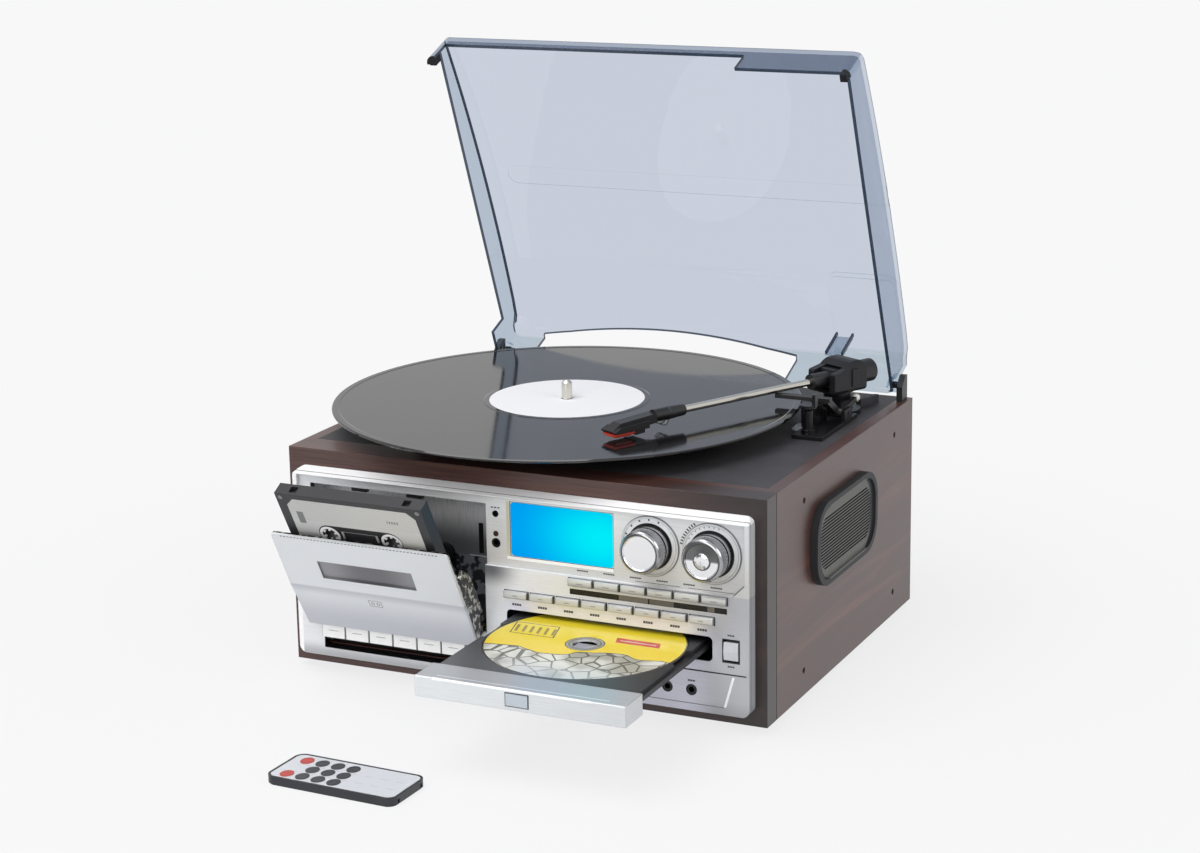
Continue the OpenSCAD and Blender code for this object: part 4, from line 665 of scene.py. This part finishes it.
# Painted light and shade: the wall lighter towards the top, against the shade of the panel's top, and darker
# below; a painted highlight on the step at 78 mm; the slot and the opening behind the keys painted black as
# shade
wear("cassette_mechanism", mech.surface(
    Base_Color=mech.paint(
        mech.mix(mech.step(mz, 84, 112), (104, 106, 110), (238, 239, 242)),
        (mech.step(mech_grain, 0.4, 0.7) * 0.25, (110, 112, 116)),
        ((mz < 78.0).at_least(my < 2.2) * (mz < 90.0), deep_tone),
        (window(mx, mz, 118, 141, 77.8, 78.5) * (my > 11.0), (206, 208, 210)),
        (window(mx, mz, 124.8, 128.0, 80, 99.4) * (my > 11.0), (8, 8, 9)),
        (window(mx, mz, 26, 132, 10, 36), (12, 12, 14))),
    Metallic=0.2, Roughness=0.42, Normal=mech.bump(mech_grain, 0.1, 0.1, 0.4)))
wear("reel_drive_left", black_plastic)
wear("reel_drive_right", black_plastic)
add_piece("bay_catches", row_recipe("bay_catches", black_plastic).made(
    Count=2, Group=2, Start=spot(53.4, -4.9, 118.3), Step=(0.0388, 0, 0), Size=(0.0108, 0.0031, 0.0021)),
          [], "cabinet")

door_foot, door_tilt = (80, 2, 24), radians(29)
door = Finish("door_silver")
ox, oy, oz = door.axes(door_foot, turn=(door_tilt, 0, 0))
door_grain = door.noise(1.4, 3, stretch=(0.03, 1, 1))
# Small outline of a cassette as a sign, below the fold
sign_x, sign_z = abs(ox + 3.0), abs(oz - 43.4)
sign = (sign_x < 4.6) * (sign_z < 2.7)
sign_hub = distance(sign_x - 1.9, sign_z)
sign_line = (sign - (sign_x < 4.1) * (sign_z < 2.2)).at_least((abs(sign_hub - 1.0) < 0.28) * sign)
behind = oy > -12.0
cheek_glints = door.step(door.noise(0.25, 3, 0.6), 0.5, 0.58)
# Painted shade: the face darker towards the bottom and in a band at the fold; the holder's cheek behind is
# painted in dark and bright patches as painted reflections
door_tone = door.paint(
    door.mix(door.step(oz, 52, 22), (217, 220, 224), (186, 189, 197)),
    (door.step(oz, 53.2, 51.6) * door.step(oz, 44, 51.6), (188, 191, 198)),
    (sign_line * (oy < -12.5) * 0.8, (92, 94, 98)),
    (behind, door.mix(cheek_glints, (24, 23, 22), (190, 188, 182))),
    (window(ox, oz, -34.2, 31.2, 60.9, 75.5) * (oy < -12.85),
     door.mix(door.step(abs(ox - 1.5), 6, 32), (96, 96, 100), (134, 134, 138))))
wear("cassette_door", door.surface(
    Base_Color=door_tone, Metallic=0.2 + behind * 0.7, Roughness=0.3 - behind * 0.12, Coat_Weight=0.3,
    Normal=door.bump(door_grain, 0.06, 0.05, 0.5)))

# Small forms on the door and the cassette are set out on the shut door and then tipped with it
def turned(point, angle):
    """A turn about a line that runs from left to right through a point."""
    return Matrix.Translation(point) @ Matrix.Rotation(angle, 4, "X") @ Matrix.Translation(-point)


tipped = turned(spot(mid_x, *door_foot[1:]), door_tilt)


def moved(mesh, matrix):
    mesh.transform(matrix)
    return mesh


add_piece("door_notches", moved(printed_row.made(
    Count=46, Group=46, Start=spot(26.4, -11.37, 117.6), Step=(0.00238, 0, 0), Size=(0.0012, 0.0001, 0.0006)),
    tipped), [], "tape_door", smooth=0)

shell = Finish("cassette_shell")
tx, ty, tz = shell.axes(door_foot, turn=(door_tilt, 0, 0))
up = tz - 94.0
label = window(tx, up, -44.0, 44.0, -21.0, 27.6) * (ty < -7.6)
stadium = distance((abs(tx) - 20.6).at_least(0.0), up)
hub = distance(abs(tx) - 21.25, up)
label_tone = shell.paint(
    shell.mix(shell.step(tx, -40, 36), (186, 187, 186), (196, 195, 190)),
    (((up * 3.4).sine() > 0.2) * (up > 11.0) * 0.25, (160, 158, 150)),
    (window(tx, up, -39.5, -35.0, 8.0, 17.5) * 0.9, (104, 105, 106)),
    (window(tx, up, 23.0, 31.0, 16.4, 18.4) * ((tx * 3.6).sine() > -0.2) * 0.8, (80, 80, 80)))
shell_fine = shell.noise(2.5, 2)
shell_tone = shell.paint(
    shell.mix(shell_fine, (42, 42, 44), (54, 54, 57)),
    (label * ((abs(tx) + up) < 66.5), label_tone), (label * (stadium < 8.2), (20, 20, 22)),
    (label * window(tx, up, -12.6, 12.6, -1.6, 4.4), (150, 150, 148)),
    (label * window(tx, up, -10.0, 10.0, -4.6, -1.6) * ((tx * 2.2).sine() > 0.5), (196, 196, 192)),
    (label * (hub < 7.0), (226, 227, 226)))
wear("cassette", shell.surface(
    Base_Color=shell_tone, Roughness=0.4, Specular_IOR_Level=0.35,
    Normal=shell.bump(shell_fine, 0.1, 0.05, 0.4)))
white_hub = moulding("hub_white", (228, 228, 226), 0.35, 0.1, 0.2)
for side, middle_x in (("left", 58.75), ("right", 101.25)):
    add_piece("hub_teeth_" + side, moved(arc_recipe("hub_teeth_" + side, white_hub).made(
        Count=6, Middle=spot(middle_x, -5.2, 118.0), Radius=0.0045, First=0.4,
        Step=radians(60), Size=(0.0017, 0.0012, 0.0012)), tipped), [], "tape")

screws = Recipe("cassette_screws", Count="Int", Start="Vector", Step="Vector", Radius="Float")
screw_line = screws.node("MeshLine", {"mode": "OFFSET"}, Count=screws.value("Count"),
                         Start_Location=screws.value("Start"), Offset=screws.value("Step"))
head = screws.node("JoinGeometry", Geometry=screws.node(
    "MeshCylinder", Vertices=16, Radius=screws.value("Radius"), Depth=0.0004))
for bar in ((0.0019, 0.0004, 0.0005), (0.0004, 0.0019, 0.0005)):
    plug(screws.tree, screws.node("MeshCube", Size=bar), head.node.inputs[0])
screws.end(screws.node("InstanceOnPoints", Points=screw_line, Instance=head,
                       Rotation=(radians(90), 0, 0)),
           speckled("bright_screw", (120, 120, 122), (150, 150, 152), 5, 0.35, Metallic=0.9))
for place, screw_z in (("top", 146.4), ("foot", 101.6)):
    add_piece("cassette_screws_" + place, moved(screws.made(
        Count=2, Start=spot(33.2, -5.9, screw_z), Step=(0.0936, 0, 0), Radius=0.0015), tipped),
              [], "tape")


# The disc player: a black drawer with a silver front block on a chassis behind the panel,
# a spring button and a printed disc in the drawer.
wear("cd_drive", moulding("drive_black", (4, 4, 8), 0.8, 0.3, sheen=0.05))
tray = Finish("tray_black")
ux, uy, _ = tray.axes()
# Painted light and shade: the black tray lighter towards the front, darker towards the back and the right
wear("disc_tray", tray.surface(
    Base_Color=tray.paint(tray.mix(tray.step(uy, -104, 8), (86, 87, 91), (26, 27, 29)),
                          (tray.step(ux, 225, 286) * 0.8, (16, 17, 19))),
    Roughness=0.4, Normal=tray.bump(tray.noise(3, 2, 0.6), 0.2, 0.08, 0.4)))
block = Finish("drawer_silver")
vx, vy, vz = block.axes()
block_grain = block.noise(1.8, 3, stretch=(0.03, 1, 1))
# Darker to the right; the top face painted darker as shade, a painted highlight along a groove near its front
# edge, and painted shade round the eject button
block_tone = block.paint(
    block.mix(block.step(vx, 160, 290), (222, 226, 229), (208, 211, 214)),
    ((vz > 52.6) * (vy > -125.8), (182, 184, 189)),
    (block.step(block_grain, 0.4, 0.7) * 0.12, (150, 152, 156)),
    (window(vx, vy, 169, 277, -122.6, -121.5) * (vz > 52.6), (226, 228, 231)),
    (window(vx, vz, 214.5, 229.5, 42.8, 51.2), (40, 42, 48)))
wear("tray_front", block.surface(
    Base_Color=block_tone, Metallic=0.2, Roughness=0.33, Coat_Weight=0.15,
    Normal=block.bump(block_grain, 0.05, 0.05, 0.6)))
wear("eject_button", button_paint("eject_blue", (188, 197, 206)))

disc = Finish("printed_disc")
disc_middle = (223, -40.8, 51.2)
disc_here = disc.place(disc_middle)
lx, ly, _ = disc.axes(disc_middle)
away = distance(lx, ly)
drift = disc.noise(0.035, 2, at=disc_here)
# Pale band of cells with dark outlines, like pebbles, under a wavy shore line
cell = disc.node("TexVoronoi", {"feature": "DISTANCE_TO_EDGE"}, "Distance", Vector=disc_here, Scale=0.085)
pebble = disc.paint(disc.mix(disc.step(drift, 0.42, 0.6), (232, 230, 222), (176, 173, 160)),
                    ((cell < 0.045) * 0.85, (66, 62, 48)), (disc.step(ly, -30, -52) * 0.55, (198, 200, 202)))
shore = ly + (lx * 0.085 + drift * 5.0).sine() * 4.5 - lx * 0.16
# A framed field of stripes on the left, a pale ribbon behind and a red bar in front of it
slant_x = lx + ly * 0.25
framed = window(slant_x, ly, -50.0, -21.0, 2.0, 21.0)
frame_inner = window(slant_x, ly, -49.2, -21.8, 2.8, 20.2)
stripes = ((slant_x * 1.3).sine() > 0.35) * (abs(ly - 11.0) < 5.5)
bar_x = lx + ly * 0.3
hub_part = away < 11.4
picture = disc.paint(
    disc.mix(disc.step(ly, -20, 40), (246, 214, 36), (248, 226, 58)),
    (shore < -17.0, pebble), (abs(shore + 17.0) < 0.5, (70, 64, 44)),
    ((framed - frame_inner) * 0.9, (60, 54, 30)), (frame_inner * stripes * 0.75, (96, 84, 40)),
    (window(lx - ly * 0.1, ly, -22.0, 30.0, 36.0, 46.0) * 0.8, (240, 236, 196)),
    (window(bar_x, ly, 18.0, 46.0, 9.0, 17.0), (204, 60, 44)),
    (window(bar_x, ly, 20.5, 43.5, 12.4, 13.6), (240, 206, 190)),
    (hub_part, disc.mix(abs(away - 9.4) < 0.5, (206, 208, 211), (120, 122, 126))),
    ((away > 59.2).at_least(abs(away - 11.5) < 0.35), (92, 88, 70)))
wear("disc", disc.surface(Base_Color=picture, Metallic=hub_part * 0.8, Roughness=0.25, Coat_Weight=0.4,
                          Coat_Roughness=0.08))


# The record deck: a black platter with a bright spindle, a record with a plain white paper
# label, and the belt drive under the platter.
record_middle = (133.8, 123.1, 151.8)
groove = Finish("record_vinyl")
rx, ry, _ = groove.axes(record_middle)
r = distance(rx, ry)
paper_label = r < 50.0
track = (r * 9.0).sine() * 0.5 + (r * 2.3).sine() * 0.3
band_gap = groove.noise(3, 2, at=groove.node("CombineXYZ", X=r * 0.12))
plain_vinyl = (r > 146.0).at_least(r < 57.5)
vinyl_rough = groove.step(band_gap, 0.35, 0.65, 0.07, 0.12) * (1 - plain_vinyl) + plain_vinyl * 0.08
vinyl_tone = groove.mix(groove.step(band_gap, 0.3, 0.7), (14, 14, 16), (26, 26, 28))
wear("record", groove.surface(
    Base_Color=groove.mix(paper_label, vinyl_tone, (244, 244, 247)), IOR=1.62,
    Roughness=vinyl_rough * (1 - paper_label) + paper_label * 0.6,
    Normal=groove.bump(track * (1 - plain_vinyl) * (1 - paper_label), 0.08, 0.02)))

spindle = Finish("platter_and_spindle")
qx, qy, qz = spindle.axes(record_middle)
q = distance(qx, qy)
pin = (q < 3.6) * (qz > 0.1)
wear("platter", spindle.surface(
    Base_Color=spindle.mix(pin, (26, 26, 28), (214, 210, 200)), Metallic=pin, Roughness=0.5 - pin * 0.3,
    Normal=spindle.bump((q * 1.4).sine() * (1 - pin), 0.2, 0.2, 0.4)))
wear("drive_belt", soft_black)
wear("platter_motor", speckled("motor_can", (150, 152, 156), (180, 182, 186), 2, (0.3, 0.45),
                               stretch=(1, 1, 0.1), Metallic=0.9))
wear("motor_pulley", speckled("pulley_brass", (184, 152, 86), (208, 176, 108), 2, (0.2, 0.35),
                              stretch=(1, 1, 6), Metallic=1.0))


# The arm: a bright tube on a black turning housing, a black headshell with a red stylus
# guard and four thin leads, and a lift lever with a pale tip. A pale clip lies beside it.
arm_pivot, arm_angle = (287.8, 206.5, 163), radians(-26.7)
wear("tonearm_base", moulding("arm_base", (15, 15, 18), 0.3, 0.15, sheen=0.3))
wear("tonearm_yoke", moulding("arm_housing", (26, 26, 29), 0.36, 0.3, sheen=0.3))
chrome = Finish("arm_chrome")
ax, ay, az = chrome.axes(arm_pivot, turn=(0, 0, arm_angle))
bright = (ay < -24.2) * (distance(ax, az) < 2.6)
weight_tone = chrome.mix(chrome.noise(4, 2), (24, 24, 26), (34, 34, 36))
wear("tonearm_tube", chrome.surface(
    Base_Color=chrome.mix(bright, weight_tone, (212, 209, 200)), Metallic=bright,
    Roughness=0.42 - bright * 0.26, Normal=chrome.rounded(0.3)))
guard = Finish("headshell")
_, hy, hz = guard.axes(arm_pivot, turn=(0, 0, arm_angle))
shell_black = guard.mix(guard.noise(3, 2), (9, 9, 12), (15, 15, 18))
wear("headshell", guard.surface(
    Base_Color=guard.mix((hz < -5.1) * (hy < -172.8), shell_black, (190, 56, 38)), Roughness=0.34,
    Normal=guard.rounded(0.4)))
along_arm = Matrix.Translation(spot(*arm_pivot)) @ Matrix.Rotation(arm_angle, 4, "Z")
neck_form = bmesh.new()
bmesh.ops.create_cone(neck_form, cap_ends=True, segments=40, radius1=0.0042, radius2=0.0036, depth=0.0135)
neck_form.transform(along_arm @ Matrix.Translation((0, -0.1364, 0)) @ Matrix.Rotation(
    radians(-90), 4, "X"))
neck = add_piece("headshell_neck", mesh_of(neck_form, "headshell_neck"),
                 [moulding("neck_black", (24, 24, 26), 0.34, 0.15, 0.2)], "arm", smooth=40)
neck_soft = neck.modifiers.new("rounded", "BEVEL")
neck_soft.width, neck_soft.segments, neck_soft.limit_method = 0.0005, 2, "ANGLE"
lever = Finish("lift_lever")
ex, ey, _ = lever.axes((*arm_pivot[:2], 150))
lever_black = lever.mix(lever.noise(3, 2), (22, 22, 24), (32, 32, 34))
wear("cue_lever", lever.surface(
    Base_Color=lever.mix((ey > -2.4) * (ex > 9.0), lever_black, (226, 226, 218)), Roughness=0.4,
    Normal=lever.rounded(0.3)))


def prism(foot, height):
    """A block that stands on these points."""
    form = bmesh.new()
    face = form.faces.new([form.verts.new(point) for point in foot])
    top = bmesh.ops.extrude_face_region(form, geom=[face])["geom"]
    bmesh.ops.translate(form, vec=(0, 0, height), verts=[v for v in top if isinstance(v, bmesh.types.BMVert)])
    bmesh.ops.recalc_face_normals(form, faces=form.faces)
    return form


clip = prism([spot(x, y, 139.55) for x, y in (
    (276.4, 165.4), (283.6, 165.4), (283.9, 151.6), (280.6, 149.6), (277.2, 151.6))], 0.0012)
bmesh.ops.bevel(clip, geom=clip.edges[:], offset=0.0003, segments=2, profile=0.5, affect="EDGES")
add_piece("deck_clip", mesh_of(clip, "deck_clip"), [moulding("clip_grey", (176, 180, 188), 0.35, 0.1)],
          "cabinet")

# Four leads bend from the neck to the pickup, each about 11 mm long
for number, (side, colour) in enumerate((
        (-2.1, (200, 196, 188)), (-0.7, (60, 60, 64)),
        (0.7, (188, 184, 176)), (2.1, (46, 46, 50))), 1):
    lead = bpy.data.curves.new(f"pickup_lead_{number}", "CURVE")
    lead.dimensions = "3D"
    lead.bevel_depth, lead.bevel_resolution = 0.0003, 2
    lead.use_fill_caps = True
    bend = lead.splines.new("BEZIER").bezier_points
    bend.add(2)
    for point, place in zip(bend, (
            (side, -151.2, -4.6), (side * 1.5, -146.6, -6.3), (side * 0.8, -142.2, -3.0))):
        point.co = along_arm @ Vector([c / 1000 for c in place])
        point.handle_left_type = point.handle_right_type = "AUTO"
    wire = final_mesh(add_object("lead_path", lead))
    wire.materials.clear()
    add_piece(f"pickup_lead_{number}", wire, [moulding(f"lead_{number}", colour, 0.4, 0.1, 0.1)], "arm",
              smooth=60)


# The dust cover: clear acrylic with a bluish tint, dark where one looks into an edge. It
# swings on two pins at the back, and black rubber stops sit in its front corners.
closing = turned(spot(mid_x, 250, 149.5), radians(68))


def acrylic(name, tint, shine):
    """Clear plastic that tints what is behind it once at each face; the tint is a linear colour."""
    sheet = Finish(name)
    gloss = sheet.node("BsdfGlossy", Color=(1, 1, 1, 1), Roughness=0.03)
    entering = 1 - sheet.node("NewGeometry", out="Backfacing")
    waviness = sheet.noise(0.01, 2)
    return sheet.show(sheet.node(
        "MixShader", i0=sheet.node("Fresnel", IOR=1.42) * entering * (shine + waviness * 0.1),
        i1=sheet.node("BsdfTransparent", Color=tint), i2=gloss))


clear_sheet = acrylic("clear_acrylic", (0.785, 0.815, 0.868, 1), 0.75)
back_wall = acrylic("acrylic_back", (0.70, 0.752, 0.795, 1), 0.4)
clear_wall = acrylic("acrylic_wall", (0.69, 0.738, 0.80, 1), 0.75)
front_wall = acrylic("acrylic_front", (0.47, 0.52, 0.60, 1), 0.7)
edge = Finish("acrylic_edge")
edge_tone = edge.mix(edge.noise(0.5, 2), (34, 44, 58), (52, 64, 82))
dark_edge = edge.show(edge.node(
    "MixShader", i0=0.86, i1=edge.node("BsdfTransparent", Color=(0.28, 0.34, 0.42, 1)),
    i2=edge.node("BsdfPrincipled", Base_Color=edge_tone, Roughness=0.15)))
# The places of the cover's finishes; 0 is the clear sheet
WALL, EDGE, BLACK, FRONT, BACK = range(1, 6)

# The CAD cover is closed and set in cabinet millimetres to be finished: its rear is cut to the
# arch of the photograph, its roof gets its full crown, and every face its tint
to_closed = Matrix.Translation((mid_x, mid_y, table_z)) @ Matrix.Scale(1000, 4) @ closing
solid = joined("dust_cover")
solid.transform(to_closed)
bmesh.ops.recalc_face_normals(solid, faces=solid.faces)
arch_x0, arch_x1, arch_y, arch_rise = 46.0, 236.0, 247.4, 8.5
arch_r = (((arch_x1 - arch_x0) / 2) ** 2 + arch_rise ** 2) / (2 * arch_rise)


def arch_line(x):
    """The rear edge of the roof over the arch."""
    across = x - (arch_x0 + arch_x1) / 2
    return arch_y - arch_rise + arch_r - sqrt(arch_r ** 2 - across ** 2)


arch_foot = [(x, arch_line(x), 132) for x in (arch_x0 + (arch_x1 - arch_x0) * i / 24 for i in range(25))]
arch_foot += [(arch_x1, 262, 132), (arch_x0, 262, 132)]
cutter = add_object("arch_cutter", mesh_of(prism(arch_foot, 58), "arch_cutter"))
carrier = add_object("cover_carrier", mesh_of(solid, "cover_solid"))
cut = carrier.modifiers.new("arch", "BOOLEAN")
cut.operation, cut.solver, cut.object = "DIFFERENCE", "EXACT", cutter
cover = bmesh.new()
cover.from_mesh(final_mesh(carrier))
bpy.data.objects.remove(cutter)
bmesh.ops.remove_doubles(cover, verts=cover.verts, dist=0.002)

crown = ((12, 0.0), (60, 2.0), (120, 3.8), (180, 5.2), (225, 6.0), (237, 5.6), (244, 1.0), (252, 0.0))


def rise(y):
    """How much further the roof rises than the plain solid's, along the cover."""
    for (y0, r0), (y1, r1) in zip(crown, crown[1:]):
        if y <= y1:
            return r0 + (r1 - r0) * max(0.0, y - y0) / (y1 - y0)
    return 0.0


for y in (24, 42, 60, 80, 100, 120, 140, 160, 180, 203, 225, 231, 237, 240.5, 244):
    bmesh.ops.bisect_plane(cover, geom=cover.verts[:] + cover.edges[:] + cover.faces[:],
                           plane_co=(0, y, 0), plane_no=(0, 1, 0), dist=0.01)
for vert in cover.verts:
    x, y, z = vert.co
    plain_roof = 173.0 - (y - 146.8) ** 2 / 2722
    # The solid's blister over the arm is pressed back into the roof
    if 261 < x < 314 and 182 < y < 252 and z > max(plain_roof + 0.05, 174.2):
        z = plain_roof + (0.5 if z > 176.4 else -1.7)
    vert.co.z = z + rise(y) * min(1.0, max(0.0, (z - 157.5) / 8))
cover.normal_update()
for face in cover.faces:
    x, y, z = face.calc_center_median()
    n = face.normal
    across = abs(n.x) > 0.8 and (y < 19 and min(abs(x - 28.2), abs(x - 239)) < 0.3
                                 or min(abs(x - arch_x0), abs(x - arch_x1)) < 0.3)
    along = abs(n.y) > 0.8 and x < 28.5 and min(abs(y - 18.5), abs(y - 229)) < 0.3
    arched = abs(n.z) < 0.5 and arch_x0 < x < arch_x1 and y > 230 and abs(y - arch_line(x)) < 0.5
    if z < 147.2 and y < 19.5 and (abs(x - 26) < 3 or abs(x - 309.8) < 3):
        face.material_index = BLACK
    elif across or along or arched or (n.z < -0.8 and z < 163 and not (x > 300 and z > 141 and y > 240)):
        face.material_index = EDGE
    elif abs(n.y) > 0.7 and y < 20:
        face.material_index = FRONT
    elif y > 240 and (abs(n.y) > 0.7 or x > arch_x1):
        face.material_index = BACK
    elif abs(n.z) < 0.5:
        face.material_index = WALL


def dark_crease(width, test):
    """Cuts a dark strip along the sharp edges of the cover that meet a test."""
    found = [e for e in cover.edges if len(e.link_faces) == 2 and e.calc_face_angle(0) > 0.9 and test(
        (e.verts[0].co + e.verts[1].co) / 2, abs(e.verts[0].co.y - e.verts[1].co.y))]
    bmesh.ops.bevel(cover, geom=found, offset=width, segments=1, affect="EDGES", material=EDGE)


# Where wall and roof meet, the clear plastic is seen through its depth and looks dark
dark_crease(1.0, lambda c, run: 22.5 < c.x < 25 and c.z > 162 and run > 0.5 and 18 < c.y < 240)
dark_crease(0.7, lambda c, run: c.z > 162 and ((c.x > 313.5 or c.x < 22.3) and run > 0.5 or c.y < 12.6))
bmesh.ops.recalc_face_normals(cover, faces=cover.faces)
cover.transform(to_closed.inverted())
add_piece("dust_cover_form", mesh_of(cover, "dust_cover_form"),
          [clear_sheet, clear_wall, dark_edge, soft_black, front_wall, back_wall],
          "cover", ("dust_cover",), 25)

# The pocket behind the arm: a clear web between two dark ribs that hang from the roof
for name, finish, count, first, size in (
        ("pocket_ribs", dark_edge, 2, (266.0, 229.6, 162.0), (0.0012, 0.0022, 0.0230)),
        ("pocket_web", clear_wall, 1, (271.1, 231.6, 161.5), (0.0128, 0.0012, 0.0210))):
    add_piece(name, moved(row_recipe(name, finish).made(
        Count=count, Group=count, Start=spot(*first), Step=(0.0112, 0, 0), Size=size), closing.inverted()),
              [], "cover", smooth=0)


# The remote control: a flat black case with a pale keypad sheet. Its keys are raised ovals,
# black but for two red ones, and it lies on the table in front of the cabinet.
wear("remote_case", moulding("remote_case", (34, 35, 40), 0.35, 0.15))
keypad = Finish("remote_keypad")
fx, fy, fz = keypad.axes((129.5, -160.5, 0.4), turn=(0, 0, radians(-2)))
sheet_fine = keypad.noise(3, 2)
key_top = fz > 0.06
small_print = ((fx + 0.4).wrap(10.4) < 5.2) * ((fy + 6.5).wrap(10.4) < 0.45) * (1 - key_top)
keypad_tone = keypad.paint(
    keypad.mix(sheet_fine, (208, 211, 217), (220, 223, 228)), (key_top, (44, 45, 50)),
    (key_top * (fx < -26.0) * (abs(fy + 1.1) > 5.0), (188, 58, 48)),
    (small_print * (abs(fx) < 36.0) * (abs(fy) < 14.0) * 0.5, (130, 132, 138)))
wear("remote_keypad", keypad.surface(
    Base_Color=keypad_tone, Roughness=0.3, Metallic=0.05,
    Normal=keypad.bump(sheet_fine, 0.05, 0.05, 0.3)))
